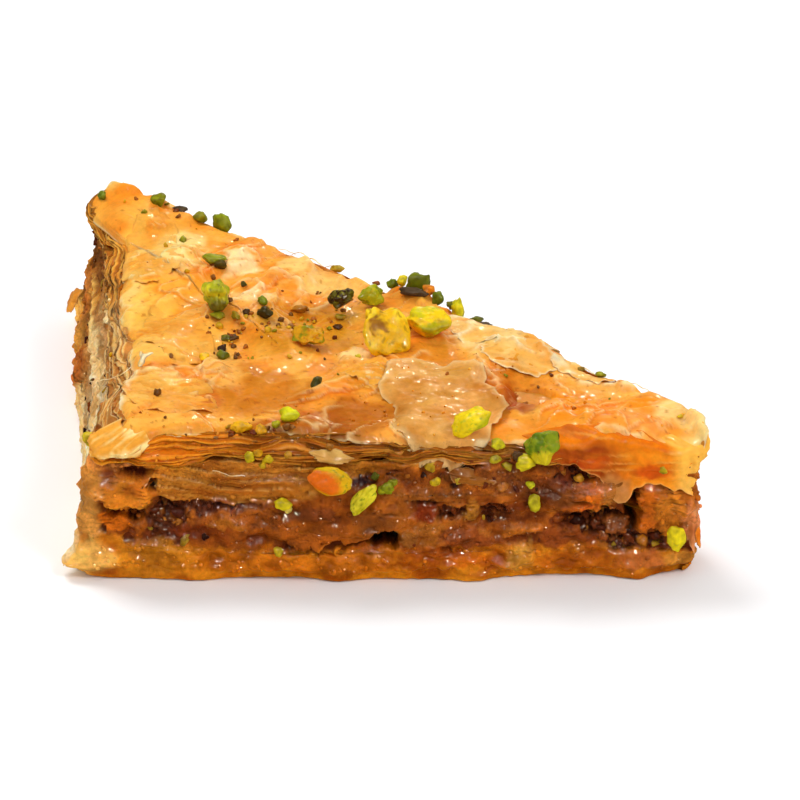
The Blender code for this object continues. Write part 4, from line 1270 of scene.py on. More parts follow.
def top_flake(name, place, radius, turned, seed, inner, edge, *, lift, curl, rim, wet, thick, dome=0.0, rows=15):
    """A torn flake lying on the top, over whatever is there already; the next ones lie over it."""
    global surface
    calm, wave, torn = blur2(surface, 2.5), 0.5, 0.22

    def height(x, y, reach, angle):
        lifted = noise_a.layered(np.cos(angle), np.sin(angle), seed * 1.9, 0.9, 2) + 0.08
        rise = 1.6 * curl * np.clip(reach, 0, 1.1) ** 5 * lifted + dome * (1 - reach**2)
        ripple = wave * noise_b.layered(x * c + y * s, (y * c - x * s) * 2.2, seed * 2.3, 4.0, 2)
        ground = np.maximum(on_raster(calm, x, y), on_raster(surface, x, y) - 0.12)
        fine = 0.56 * wave * np.abs(noise_c.layered(x, y * 1.4, seed * 4.7, 2.6, 2))
        return ground + lift + rise + ripple * np.clip(reach, 0.2, 1) + fine + 0.5 * crease_marks(x, y)[0]

    reach, angle = polar(rows=rows)
    spread = reach * (1 + (torn_edge(angle, seed, torn) - 1) * reach**2)
    x, y, c, s = oval(place, radius, turned, spread, angle)
    z = height(x, y, reach, angle)
    grid = settle_top(x, y, z)
    heart = np.array([*place, height(*[np.array([p]) for p in place], np.zeros(1), np.zeros(1))[0]])
    creased = crease_marks(x, y)[1]
    # Cream along the creases (as rim light) and on the rim: painted highlights
    skin = top_tones(x, y, 0.25 * noise_d(x, y, seed * 3.3, 6.0), 1.9 * np.maximum(creased, 0))
    tones = mix(skin, flake_tones(x, y, reach, seed, inner, edge, 0), 0.6)
    tones = mix(tones, CREAM, np.clip(0.7 * creased, 0, 1))
    tones = mix(tones, CREAM, rim * smooth(0.9, 1.0, reach + 0.03 * noise_b(x, y, seed, 1.5)))
    shell_mesh(name, grid, np.array((0, 0, 1.0)), thick, heart, tones, wet + 0.4 * noise_d(x, y, seed, 3.0))
    du, dv = xs - place[0], ys - place[1]
    lu, lv = (du * c + dv * s) / radius[0], (dv * c - du * s) / radius[1]
    angle = np.arctan2(lv, lu)
    share = np.hypot(lu, lv) / torn_edge(angle, seed, torn)
    surface = np.where(share < 1, np.maximum(surface, height(xs, ys, share, angle)), surface)


def inside(x, y, margin):
    """The place, pulled in where it lies nearer the edge of the top than the margin, or beyond it."""
    ray = np.stack([x, y], -1) - CENTRE
    return CENTRE + ray * np.minimum(1, (edge_at(ray) - margin) / np.linalg.norm(ray, axis=-1))[..., None]


F_PEACH, F_PALE = (rgb(232, 150, 66), rgb(244, 180, 96)), (rgb(244, 176, 98), rgb(250, 208, 150))
F_CLEAR = (rgb(182, 130, 78), rgb(220, 176, 128))

# Flakes of the top: middle, radii, turn, colours, curl of the edge, painted highlight on the rim, wetness
TOP_FLAKES = (
    ((9.0, 30.0), (4.6, 9.0), 12, F_PEACH, 0.1, 0.0, 0.3),
    ((4.0, 58.0), (4.6, 12.0), 3, F_PEACH, 0.1, 0.05, 0.3),
    ((8.6, 12.6), (6.0, 5.4), -10, F_PEACH, 0.1, 0.1, 0.3),
    ((34.6, 19.0), (4.2, 5.4), 12, F_PEACH, 0.3, 0.15, 0.4),
    ((38.0, 37.0), (6.5, 6.0), -30, F_PEACH, 0.3, 0.1, 0.4),
    ((53.4, 29.0), (8.4, 4.2), -26, F_PALE, 0.12, 0.6, 0.5),
    ((54.8, 22.4), (5.4, 3.2), -22, F_PALE, 0.12, 0.7, 0.5),
    ((63.4, 18.6), (4.6, 1.8), -38, F_PALE, 0.2, 0.6, 0.5),
)
for number, (place, radius, turned, (inner, edge), curl, rim, wet) in enumerate(TOP_FLAKES):
    top_flake(f"top_flake_{number + 1}", place, radius, turned, number + 3, inner, edge, curl=curl, rim=rim,
              wet=wet, lift=0.02, thick=0.06)
top_flake("clear_flap", (44.6, 10.8), (7.8, 11.6), 8, 41, *F_CLEAR, curl=0.6, rim=0.3, wet=0.4, dome=0.5,
          lift=0.15, thick=0.08, rows=34)


def column_at(s):
    """The column of each place along the rim."""
    return np.interp(np.asarray(s) % around, np.append(along, around), np.arange(COLUMNS + 1)) % COLUMNS


def wall_point(s, z, out):
    """Points over the cut faces from the distance along the rim, the height and how far they stand out."""
    column = column_at(s)
    first = np.floor(column).astype(int) % COLUMNS
    share = (column - np.floor(column))[..., None]
    z, out = z * np.ones_like(column), out * np.ones_like(column)
    return wall_at(first, z, out) * (1 - share) + wall_at((first + 1) % COLUMNS, z, out) * share


def wall_flake(name, place, radius, turned, seed, inner, edge, *, out, wet, folds):
    """A torn flake or a drip of soaked sheet hanging on a cut face; place is along the rim and height."""
    reach, angle = polar()
    spread = reach * torn_edge(angle, seed, 0.25)
    along_at, z, _, _ = oval(place, radius, turned, spread, angle)
    stand = out - 0.35 + 0.5 * reach ** 4 * (0.1 + noise_a(np.cos(angle), np.sin(angle), seed * 1.9, 0.8))
    stand = stand + 0.6 * (1 - reach**2) - 0.5 * spread * np.sin(angle)
    stand = stand + 0.3 * noise_b.layered(along_at, z * 1.8, seed * 2.3, 3.0, 2)
    stand = stand + folds * noise_c(along_at, z * 0.25, seed * 3.1, 1.6)
    heart = wall_point(np.array([place[0]]), np.array([place[1]]), out)[0]
    normal = np.array([*rim_top.out[int(column_at(place[0]))], 0.0])
    shell_mesh(name, wall_point(along_at, z, stand), normal, 0.14, heart,
               flake_tones(along_at, z, reach, seed, inner, edge, 0.15), wet + 0.4 * noise_d(along_at, z, seed, 3.0))


# Flakes and drips on the cut faces: distance along the rim and height, radii, turn, colours, how far out, folds
WALL_FLAKES = (
    ((30.2, 17.4), (2.7, 0.65), -6, (rgb(186, 130, 68), rgb(222, 178, 120)), 0.55, 0.3, 0.5),
    ((48.5, 14.4), (3.2, 1.0), -6, (rgb(140, 84, 38), rgb(172, 112, 56)), 0.1, 0.0, 0.8),
    ((77.6, 8.4), (1.4, 4.4), -6, (rgb(196, 112, 72), rgb(226, 156, 116)), 0.3, 0.8, 0.9),
    ((81.4, 7.2), (2.4, 4.2), 4, (rgb(236, 126, 24), rgb(246, 158, 54)), 0.5, 0.2, 0.9),
    ((215.5, 9.0), (2.6, 1.9), 10, (rgb(216, 136, 48), rgb(232, 160, 78)), 1.9, 0.0, 0.4),
)
for number, (place, radius, turned, (inner, edge), out, folds, wet) in enumerate(WALL_FLAKES):
    wall_flake(f"wall_flake_{number + 1}", place, radius, turned, number + 60, inner, edge, out=out, folds=folds,
               wet=wet)


def sheet_lines(s, z):
    """Fine level lines of the sheets that lie under a soaked one."""
    line = np.cos(2 * math.pi * (z + 0.5 * noise_a(s, z, 302.0, 5.0)) / 1.05)
    return smooth(0.5, 0.95, line) * smooth(14.0, 16.0, z) * smooth(-0.35, 0.2, noise_b(s, z, 303.0, 4.0))


def draped_sheet(name, span, lower, inset, seed, paint, *, folds, thick, wet, rough, tuck, columns):
    """A sheet that comes off the top, over its edge and down the cut face, to a torn lower edge."""
    s, rows = np.linspace(*span, columns)[None, :], 50
    end = smooth(0.0, 1.6, np.minimum(s - span[0], span[1] - s))
    inner, rim = wall_point(s, 17.5, -inset), wall_point(s, 17.5, -0.9)
    z_in, z_rim = (on_raster(surface, p[..., 0], p[..., 1]) + 0.08 for p in (inner, rim))
    z_low = np.interp(s, *zip(*lower)) + 0.4 * noise_c.layered(s, seed, 0.0, 2.0, 3, 0.45)
    t = np.linspace(0, 1, rows)[:, None]
    knots = (0.0, 0.14, 0.24, 0.3, 1.0)
    outs = [-inset + 0 * s, -0.9 + 0 * s, 0.1 + 0 * s, 0.42 + 0 * s, 0.45 + 0 * s]
    heights = [z_in - 0.35, z_rim, z_rim - 0.25, z_rim - 0.8, z_low]
    step = np.interp(t, knots, range(5))
    out, z = (sum(np.clip(1 - np.abs(step - k), 0, 1) * part for k, part in enumerate(parts))
              for parts in (outs, heights))
    for path in (out, z):
        relax(path, 3)
    down = smooth(0.2, 0.5, t)
    out = out + rough * 0.5 * noise_a.layered(s, z * 1.6, seed + 1.0, 3.4, 3, 0.5) * (0.3 + 0.7 * down)
    out = out + rough * (0.12 * noise_c(s, z * 1.4, seed + 4.0, 0.9) + 0.14 * sheet_lines(s, z)) * down
    out = out + folds * down * noise_b(s, z * 0.12, seed + 2.0, 1.1) + np.interp(s, *tuck) * smooth(0.1, 0.25, t)
    out = out + 0.3 * smooth(0.85, 1.0, t) * noise_d(s, 0.0, seed + 3.0, 1.6) - 0.9 * (1 - end)
    z = z - 0.5 * (1 - end) * (1 - down)
    grid = wall_point(s * np.ones_like(t), z, np.maximum(out, -0.5))
    inward = CENTRE - grid[..., :2]
    inward /= np.linalg.norm(inward, axis=-1)[..., None]
    grid[..., :2] += inward * np.maximum(-0.5 - out, 0)[..., None]
    du, dv = np.gradient(grid, axis=1), np.gradient(grid, axis=0)
    normal = np.cross(dv, du)
    normal /= np.maximum(np.linalg.norm(normal, axis=-1), 1e-9)[..., None]
    normal *= np.sign((normal * [*rim_top.out[int(column_at(sum(span) / 2))], 0.6]).sum(-1).mean())
    tones, wetness_here = paint(s * np.ones_like(t), z, t * np.ones_like(s))
    count = rows * columns
    around_it = np.concatenate([np.arange(columns), np.arange(2 * columns - 1, count, columns),
                                np.arange(count - 2, count - columns - 1, -1),
                                np.arange(count - 2 * columns, 0, -columns)])
    ahead = np.roll(around_it, -1)
    faces = [band_faces(rows, columns, closed=False), band_faces(rows, columns, closed=False, start=count)[:, ::-1],
             np.stack([around_it, around_it + count, ahead + count, ahead], -1)]
    every = np.concatenate([grid.reshape(-1, 3), (grid - normal * thick).reshape(-1, 3)])
    tones = tones.reshape(-1, 3)
    # The inner face is painted a tenth darker, as shade
    made = make_mesh(name, every, faces, np.concatenate([tones, tones * 0.9]), flake_skin,
                     np.tile((wet * wetness_here).ravel(), 2))


def paint_right(s, z, t):
    """The wet orange sheets that hang at the right end of the front cut."""
    blotch = noise_c.layered(s, z * 1.5, 301.0, 3.6, 3)
    light = np.clip(0.5 + blotch, 0, 1)
    tones = mix(mix(rgb(176, 86, 24), rgb(196, 106, 38), light), mix(rgb(236, 128, 24), rgb(250, 158, 50), light),
                smooth(65, 71, s))
    tones = mix(tones, rgb(232, 134, 22), smooth(0.4, 0.24, t))
    streaks = smooth(-0.05, 0.3, noise_d.layered(s, z * 3, 306.0, 2.4, 3))
    tones = mix(tones, tones * np.array((0.86, 0.66, 0.5)), 0.6 * streaks)
    tones = mix(tones, rgb(250, 186, 112), 0.5 * sheet_lines(s, z))
    red = 0.8 * patch(s, z, (71.8, 15.2), (2.4, 0.9), 91) + 0.5 * patch(s, z, (64.0, 16.6), (3.0, 0.7), 92)
    tones = mix(tones, rgb(214, 92, 24), red)
    # Pale vertical streaks near the right end: painted highlights
    pale = smooth(0.1, 0.4, noise_d(s, z * 0.1, 304.0, 0.9)) * smooth(75, 76.5, s) * smooth(17.5, 16, z)
    tones = mix(tones, rgb(254, 206, 150), np.clip(0.85 * pale, 0, 1))
    tones = mix(tones, rgb(206, 146, 96), 0.8 * patch(s, z, (66.8, 12.6), (2.2, 2.4), 93))
    tones = mix(tones, rgb(254, 196, 104), 0.85 * smooth(73.5, 76.0, s) * smooth(10, 13, z))
    return mix(tones, rgb(250, 190, 130), 0.5 * smooth(0.95, 1.0, t)), np.clip(0.3 + 0.6 * blotch, 0, 1)


def paint_tip(s, z, t):
    """The pale golden ends of the sheets at the right-angled corner."""
    blotch = noise_c.layered(s, z * 1.5, 311.0, 2.4, 3)
    tones = mix(rgb(238, 170, 82), rgb(255, 226, 170), np.clip(0.6 + 2.0 * blotch, 0, 1))
    layers = smooth(0.3, 0.9, np.cos(2 * math.pi * (z - 0.12 * s + 0.3 * noise_a(s, z, 312.0, 2.0)) / 0.8))
    tones = mix(tones, rgb(204, 116, 40), 0.7 * layers * smooth(0.25, 0.45, t))
    return mix(tones, rgb(253, 226, 166), 0.6 * smooth(0.9, 1.0, t)), 0.35 + 0 * s


draped_sheet("right_drape", (57.5, 84.0), (
    (57.5, 17.4), (59.5, 16.5), (62.0, 16.1), (63.5, 15.5), (65.2, 14.6), (66.2, 11.8), (67.2, 10.5), (68.2, 10.8),
    (69.3, 12.9), (71.0, 13.5), (73.0, 13.3), (74.4, 12.4), (75.6, 12.9), (76.6, 12.2), (77.6, 11.2), (79.5, 11.4),
    (82.0, 13.5), (84.0, 15.5)), 3.4, 301.0, paint_right, folds=0.3, thick=0.18, wet=0.9, rough=1.0,
    tuck=((57, 75.5, 78, 84), (0, 0, -0.5, -0.8)), columns=240)
draped_sheet("corner_tip", (-5.0, 5.4), (
    (-5.0, 18.2), (-3.0, 17.6), (-0.8, 17.0), (0.9, 16.9), (2.2, 17.4), (3.6, 18.0), (5.4, 18.6)), 5.0, 311.0,
    paint_tip, folds=0.0, thick=0.3, wet=0.6, rough=0.8, tuck=((0, 1), (0, 0)), columns=120)


# Thin dry shreds: points from end to end, half width
SHREDS = (
    (((-0.6, 19.6, 18.6), (0.6, 19.2, 19.0), (1.9, 18.6, 19.9), (3.4, 19.6, 20.5)), 0.16),
    (((4.6, 18.6, 20.4), (5.2, 20.2, 21.3), (6.2, 21.2, 21.2)), 0.5), (((5.0, 20.6, 20.3), (4.7, 21.6, 21.2)), 0.4),
    (((24.0, 60.6, 20.0), (25.2, 59.8, 20.9), (26.6, 58.4, 20.6)), 0.25),
    (((26.0, 58.8, 20.0), (27.6, 57.4, 20.9), (28.6, 55.4, 20.5)), 0.3),
    (((22.0, 61.8, 20.0), (23.0, 61.4, 20.5), (24.6, 60.2, 20.2)), 0.2),
    (((28.6, 56.0, 20.1), (30.2, 54.6, 20.7), (31.0, 52.8, 20.2)), 0.2),
    (((14.8, -1.0, 15.6), (16.6, -1.1, 15.1), (18.0, -1.1, 14.8), (19.0, -0.9, 14.9)), 0.12),
    (((63.6, 21.6, 19.8), (65.0, 20.6, 20.4), (66.8, 19.0, 20.0)), 0.25),
    (((70.0, 15.6, 19.8), (71.4, 14.6, 20.3), (73.0, 12.6, 19.9)), 0.22),
)


def shreds():
    """Curled splinters of dry sheet, as flat ribbons."""
    points, faces, start = [], [], 0
    for number, (path, half) in enumerate(SHREDS):
        t = np.linspace(0, len(path) - 1, 22)
        line = np.stack([np.interp(t, range(len(path)), axis) for axis in zip(*path)], -1)
        relax(line, 4)
        if path[0][1] > 4 and number:
            line[:, :2] = inside(line[:, 0], line[:, 1], 0.2)
            line[:, 2] += on_raster(surface, line[:, 0], line[:, 1]) - 20
        line[:, 2] += 0.25 * noise_a(t, number * 3.1, 5.0, 0.8)
        way = np.gradient(line, axis=0)
        side = np.cross(way, (0.2, 0.3, 1.0))
        side /= np.linalg.norm(side, axis=1)[:, None]
        width = half * (0.35 + 0.65 * np.sin(np.pi * np.linspace(0.06, 0.94, 22)))
        width = width * (1 + 0.5 * noise_b(t, number, 1.0, 0.5))
        thin = np.array((0, 0.02, 0.05))
        ring = [line + side * width[:, None], line + thin, line - side * width[:, None], line - thin]
        points.append(np.stack(ring, 1).reshape(-1, 3))
        grid = start + np.arange(88).reshape(22, 4)
        nxt = np.roll(grid, -1, axis=1)
        faces.append(np.stack([grid[:-1], grid[1:], nxt[1:], nxt[:-1]], -1).reshape(-1, 4))
        faces.append(np.array([grid[0][::-1], grid[-1]]))
        start += 88
    points = np.concatenate(points)
    tones = mix(rgb(244, 200, 134), CREAM, np.clip(0.6 + noise_c(points[:, 0], points[:, 1], 7.0, 0.8), 0, 1))
    make_mesh("dry_shreds", points, faces, tones, flake_skin, np.full(len(points), 0.3))


shreds()


# --- Pistachios ----------------------------------------------------------------------------------------------

# Green flesh, as sRGB numbers, and the dark skin, as a colour
LEAF, SKIN = (128, 144, 20), rgb(66, 40, 34)


def chunk(name, node_name, size, turned, seed, tones, *, lobes=0.16, knobs=0.07, cuts=3, waist=0.0, skin=0.0,
          heart=None):
    """A chopped pistachio in place of its node: a lobed body with broken faces and shreds of skin."""
    low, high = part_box(node_name)
    middle = np.array((low + high) / 2) / MM - CORNER
    n, faces = BALLS[5]
    local = np.random.default_rng(seed)
    o = seed * 13.7
    x, y, z = n.T
    lobe = noise_a.layered(x + o, y, z, 0.95, 2)
    knob = noise_b.layered(x, y + o, z, 0.6, 2, 0.35)
    shape = n * (1 + 2.4 * lobes * lobe + 1.7 * knobs * knob)[:, None]
    shape[:, 1:] *= (1 - waist * hill(x, 0.1, 0.35))[:, None]
    for _ in range(cuts):
        way = local.normal(size=3)
        way /= np.linalg.norm(way)
        over = np.maximum(shape @ way - local.uniform(0.6, 0.8), 0)
        shape -= 0.75 * over[:, None] * way
    shape += 0.02 * noise_c.layered(x, y, z + o, 0.16, 2)[:, None] * n
    shape = shape / np.abs(shape).max(0) * np.array(size) / 2
    matrix = np.array(Euler([math.radians(a) for a in turned]).to_matrix())
    points = shape @ matrix.T + middle
    main, second, third = tones
    field = noise_b.layered(x, y, z + o, 0.8, 3)
    colour = mix(main, second, smooth(-0.1, 0.35, field))
    spots = noise_c.layered(x, y, z + o, 0.3, 2)
    colour = mix(colour, third, smooth(0.32, 0.5, spots) * 0.8)
    if skin:
        colour = mix(colour, SKIN, smooth(0.5 - skin, 0.6 - skin, noise_a.layered(x, y, z + o, 0.7, 3)))
    if heart is not None:
        way, wide, soft, tone, strength = heart
        way = np.array(way) / np.linalg.norm(way)
        world = (n @ matrix.T) @ way
        colour = mix(colour, tone, strength * smooth(wide, wide + soft, world + 0.15 * spots))
    made = make_mesh(name, points, [faces], colour, pistachio_skin, np.full(len(n), 0.5) + 0.3 * field)
    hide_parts(node_name)


# Each: its name and node, size, turns, three colours, and its lobes, knobs, flats, waist, skin and coloured end
CHUNKS = (
    ("big_green", (4.0, 6.8, 4.2), (6, 0, 8), ((176, 176, 40), (214, 204, 62), (120, 124, 26)),
     {"cuts": 1, "heart": ((0.1, -1, -0.7), 0.55, 0.3, rgb(100, 88, 34), 0.8)}),
    ("dark", (3.7, 3.4, 2.8), (0, 0, 40), ((104, 98, 32), (72, 54, 36), (160, 158, 44)),
     {"knobs": 0.12, "cuts": 2, "skin": 0.12}),
    ("round_green", (3.9, 4.2, 3.0), (0, 0, -30), ((176, 176, 34), (142, 148, 24), (210, 194, 50)), {"cuts": 1}),
    ("yellow", (6.7, 7.3, 3.0), (42, 0, 16), ((238, 190, 26), (250, 216, 70), (186, 150, 30)),
     {"waist": 0.24, "lobes": 0.12, "knobs": 0.04, "cuts": 0,
      "heart": ((-0.25, -0.5, 0.85), 0.84, 0.16, rgb(146, 92, 34), 0.85)}),
    ("olive", (6.9, 5.3, 3.4), (12, 0, -22), ((244, 206, 26), (208, 196, 24), (252, 222, 60)),
     {"lobes": 0.12, "knobs": 0.03, "cuts": 1, "heart": ((0.4, -0.9, -0.2), 0.5, 0.3, rgb(160, 156, 20), 0.7)}),
    ("crumbled", (4.8, 4.6, 2.2), (8, 0, 15), ((214, 158, 24), (150, 146, 26), (190, 116, 30)),
     {"knobs": 0.12, "lobes": 0.18}),
    ("edge_yellow", (5.9, 3.4, 3.6), (20, -26, 8), ((232, 204, 26), (246, 220, 50), (196, 190, 40)),
     {"waist": 0.14, "lobes": 0.1, "knobs": 0.02, "cuts": 0,
      "heart": ((1.0, -0.6, -0.3), 0.6, 0.3, rgb(170, 180, 40), 0.7)}),
    ("orange", (6.0, 2.6, 4.2), (0, 12, 0), ((224, 180, 24), (206, 176, 24), LEAF),
     {"lobes": 0.08, "knobs": 0.02, "cuts": 0, "heart": ((-0.55, -0.8, 0.0), 0.1, 0.6, rgb(232, 116, 14), 0.95)}),
    ("sliver", (2.4, 2.0, 5.6), (0, 38, 0), ((220, 206, 66), (196, 184, 40), LEAF),
     {"lobes": 0.12, "knobs": 0.03, "cuts": 1}),
    ("edge_green", (4.7, 2.6, 5.6), (0, 10, 0), ((146, 160, 38), (108, 134, 30), (176, 156, 56)),
     {"knobs": 0.09, "lobes": 0.2, "cuts": 2, "skin": 0.05,
      "heart": ((0.1, -0.3, -1.0), 0.35, 0.3, rgb(218, 198, 44), 0.9)}),
)
for number, (kind, size, turned, tones, shape) in enumerate(CHUNKS):
    chunk(f"nut_{kind}", f"pistachio_{kind}", size, turned, number + 1, [rgb(*tone) for tone in tones], **shape)


G_DARK, G_MID, G_LIME, G_BROWN, G_SKIN = ((92, 98, 24), (144, 150, 30), (196, 192, 40), (166, 112, 44), (92, 66, 46))
# Smaller bits of pistachio on the top: middle (x, y), size, turn, colour
TOP_BITS = (
    ((-3.4, 75.6), (1.4, 1.4, 1.4), 0, (120, 134, 50)), ((5.1, 72.6), (2.1, 3.0, 1.8), 20, (140, 142, 30)),
    ((8.0, 71.6), (2.4, 1.4, 0.6), -30, (88, 70, 62)), ((10.8, 69.2), (1.9, 1.5, 1.8), 0, (146, 146, 40)),
    ((14.0, 67.2), (3.6, 1.4, 3.0), -42, (140, 150, 34)), ((13.2, 53.2), (3.4, 2.2, 1.5), -12, (150, 154, 30)),
    ((14.4, 52.2), (1.8, 1.6, 1.2), 0, (96, 84, 30)), ((14.3, 35.4), (1.9, 2.4, 1.0), 0, (156, 150, 40)),
    ((17.6, 45.6), (1.0, 1.0, 0.7), 0, (80, 76, 30)), ((20.8, 35.6), (2.3, 2.6, 1.6), 0, (76, 66, 34)),
    ((20.4, 38.6), (1.3, 1.9, 1.2), 0, (132, 146, 34)), ((18.2, 35.4), (1.0, 1.2, 0.8), 0, G_SKIN),
    ((16.9, 34.6), (1.2, 2.4, 0.9), 10, (150, 130, 36)), ((16.6, 30.4), (1.0, 1.6, 0.8), -30, G_SKIN),
    ((15.6, 30.2), (1.2, 1.2, 0.8), 0, (120, 120, 34)), ((15.4, 25.6), (1.6, 2.4, 1.3), 0, (116, 124, 40)),
    ((15.2, 27.6), (1.2, 1.6, 1.0), -20, (66, 44, 36)), ((13.0, 22.2), (1.3, 1.9, 0.9), 0, (240, 190, 36)),
    ((25.4, 39.6), (2.4, 1.8, 0.9), 0, (186, 126, 44)), ((28.0, 15.0), (1.4, 3.0, 1.2), -12, (74, 76, 40)),
    ((24.6, 5.6), (3.2, 2.2, 1.9), -38, (208, 204, 40)), ((22.9, 4.0), (1.3, 1.3, 1.0), 0, (166, 160, 40)),
    ((18.2, 2.8), (2.6, 1.8, 1.6), 0, (228, 176, 40)), ((21.0, 2.6), (1.5, 1.3, 1.3), 0, (226, 170, 50)),
    ((16.8, 2.4), (1.0, 1.0, 0.7), 0, (150, 84, 40)), ((19.8, 1.4), (1.0, 1.0, 0.8), 0, (130, 60, 30)),
    ((40.8, 40.0), (4.2, 1.6, 1.1), -14, (92, 76, 70)), ((41.8, 42.6), (3.9, 1.6, 3.5), 16, (120, 128, 34)),
    ((39.4, 44.0), (1.5, 1.6, 1.6), 0, (220, 202, 36)), ((38.0, 45.0), (1.6, 1.8, 1.6), 0, (118, 134, 32)),
    ((36.4, 48.4), (1.2, 1.0, 0.6), 0, (150, 90, 50)), ((44.2, 41.4), (2.0, 1.6, 1.6), 0, (220, 140, 46)),
    ((45.4, 39.6), (1.6, 1.6, 2.3), 0, (116, 130, 32)), ((48.4, 37.0), (1.7, 2.4, 2.8), 12, (214, 204, 44)),
    ((46.9, 37.6), (1.7, 1.2, 1.2), 0, (116, 116, 50)), ((50.7, 35.0), (1.6, 1.3, 0.8), 0, (110, 116, 36)),
    ((52.4, 33.6), (1.8, 0.8, 0.5), -20, (110, 96, 96)), ((30.4, 52.0), (2.0, 1.4, 0.9), -20, (190, 160, 60)),
    ((66.2, 18.6), (1.3, 1.3, 0.9), 0, (150, 150, 50)), ((33.4, 24.4), (0.8, 0.8, 0.4), 0, (206, 190, 50)),
    ((75.4, 5.0), (0.9, 0.9, 0.4), 0, (226, 190, 40)), ((63.0, 20.6), (1.0, 0.9, 0.5), 0, (150, 120, 50)),
    ((30.6, 34.6), (1.4, 1.0, 0.6), 20, (96, 60, 40)), ((31.0, 37.4), (1.6, 1.2, 0.8), 0, (176, 150, 50)),
)
# Smaller bits stuck to the front cut: middle (x, z), size, colour
FRONT_BITS = (
    ((55.6, 16.6), 2.4, (212, 196, 40)), ((54.4, 17.6), 1.5, G_SKIN), ((52.0, 19.3), 1.6, (196, 184, 40)),
    ((51.5, 17.2), 1.3, (180, 164, 40)), ((53.0, 15.9), 1.2, (170, 150, 40)), ((37.6, 13.2), 1.5, G_MID),
    ((36.8, 12.8), 1.3, (170, 170, 30)), ((38.3, 13.8), 1.2, (150, 150, 30)),
    ((24.0, 11.2), (2.3, 1.5, 1.8), (204, 186, 30)), ((24.6, 10.2), (1.0, 0.8, 1.0), (222, 200, 120)),
    ((43.3, 15.7), 1.6, (196, 160, 40)),
    ((43.6, 14.0), 1.3, (200, 170, 40)), ((46.6, 14.0), 1.1, (190, 160, 50)), ((56.0, 13.5), 1.1, G_LIME),
    ((56.0, 11.0), (1.7, 1.3, 2.5), (180, 168, 34)), ((74.9, 6.3), (2.4, 1.5, 3.5), (222, 202, 34)),
    ((-2.0, 17.2), 1.9, (206, 184, 50)), ((19.4, 17.4), 1.5, (190, 170, 30)), ((20.6, 18.0), 1.2, (200, 150, 30)),
    ((22.0, 17.0), 1.4, (196, 170, 40)), ((21.2, 16.4), 1.0, (180, 150, 30)), ((24.6, 17.6), 1.1, (190, 140, 40)),
    ((23.2, 4.4), (1.4, 1.0, 1.5), (196, 170, 40)), ((36.0, 14.6), 1.1, G_DARK),
    ((73.6, 15.6), 1.1, (180, 160, 40)), ((62.5, 14.2), 1.2, (206, 150, 50)), ((30.0, 18.6), 1.0, G_BROWN),
)


def small_bits():
    """Bits of pistachio on the top and the front cut, and the crumbs around them."""
    places, sizes, turns, tones = [], [], [], []
    for (x, y), size, turned, colour in TOP_BITS:
        x, y = inside(x, y, 0.3 * size[1])
        places.append((x, y, float(on_raster(surface, x, y)) + 0.36 * size[2]))
        sizes.append(size)
        turns.append(turned)
        tones.append(rgb(*colour))
    for (x, z), size, colour in FRONT_BITS:
        size = size if isinstance(size, tuple) else (size * 1.05, size * 0.8, size)
        column = np.array([np.argmin(np.abs(top_mid[:, 0] - x) + 9 * (top_mid[:, 1] > 5))])
        stand = wall_look(column, wall_at(column, np.array([z])))[0]
        places.append(tuple(wall_at(column, np.array([z]), stand - 0.2 + 0.4 * size[1])[0]))
        sizes.append(size)
        turns.append(0)
        tones.append(rgb(*colour))
    crumbs_mesh("pistachio_bits", places, sizes, tones, np.full(len(sizes), 0.5), pistachio_skin,
                level=3, lump=0.4, facets=2, turns=turns)
    local = np.random.default_rng(31)
    places, sizes, tones = [], [], []
    kinds = (rgb(150, 146, 40), rgb(146, 98, 52), rgb(122, 82, 46), rgb(210, 168, 44), rgb(176, 108, 40),
             rgb(130, 70, 32))
    for (cx, cy), (rx, ry), count in (((21, 35), (4, 4), 26), ((27, 36), (3, 4), 18), ((17, 29), (3, 5), 20),
                                      ((14, 40), (3, 5), 8), ((41, 43), (6, 4), 22), ((20, 3), (5, 2.5), 22),
                                      ((26, 28), (9, 12), 14), ((10, 50), (9, 16), 12), ((4, 72), (4, 5), 8),
                                      ((48, 34), (6, 5), 9), ((29, 54), (6, 8), 8), ((60, 14), (10, 8), 8),
                                      ((6, 16), (5, 8), 6)):
        for _ in range(count):
            x, y = local.normal((cx, cy), (rx / 1.6, ry / 1.6))
            if x < -5 or y < 0.4 or x / 84.5 + y / 82 > 0.97:
                continue
            places.append((x, y, float(on_raster(surface, x, y)) + 0.1))
            sizes.append(np.clip(local.lognormal(-0.6, 0.4), 0.25, 1.1))
            tones.append(kinds[local.integers(0, 6)])
    crumbs_mesh("pistachio_crumbs", places, sizes, tones, np.full(len(sizes), 0.5), pistachio_skin,
                lump=0.6, facets=3)


small_bits()


def syrup_drops():
    """Drops and bubbles of syrup that catch the light."""
    local = np.random.default_rng(77)
    column = np.concatenate([local.integers(0, FRONT_COLUMNS, 750), local.integers(0, COLUMNS, 200)])
    z = local.uniform(0.6, 17.5, len(column))
    flat = wall_at(column, z)
    stand, tones, _, _ = wall_look(column, flat)
    size = np.clip(local.lognormal(-1.35, 0.45, len(column)), 0.12, 0.7)
    places = wall_at(column, z, stand - INSET + 0.1 * size)
    n = 300
    x, y = local.uniform(4, 80, n), local.uniform(0.5, 40, n)
    ok = (x / 82 + y / 80 < 0.93) & (local.uniform(size=n) < smooth(15, 50, x) + hill(y, 4, 6))
    x, y = x[ok], y[ok]
    top = np.stack([x, y, on_raster(surface, x, y) + 0.02], -1)
    size = np.concatenate([size, np.clip(local.lognormal(-1.6, 0.4, len(x)), 0.1, 0.4)])
    places = np.concatenate([places, top])
    tones = np.concatenate([tones * 1.1, top_tones(x, y)])
    crumbs_mesh("syrup_drops", places, size * 1.3, tones, np.ones(len(size)), syrup, lump=0.0,
                facets=0)


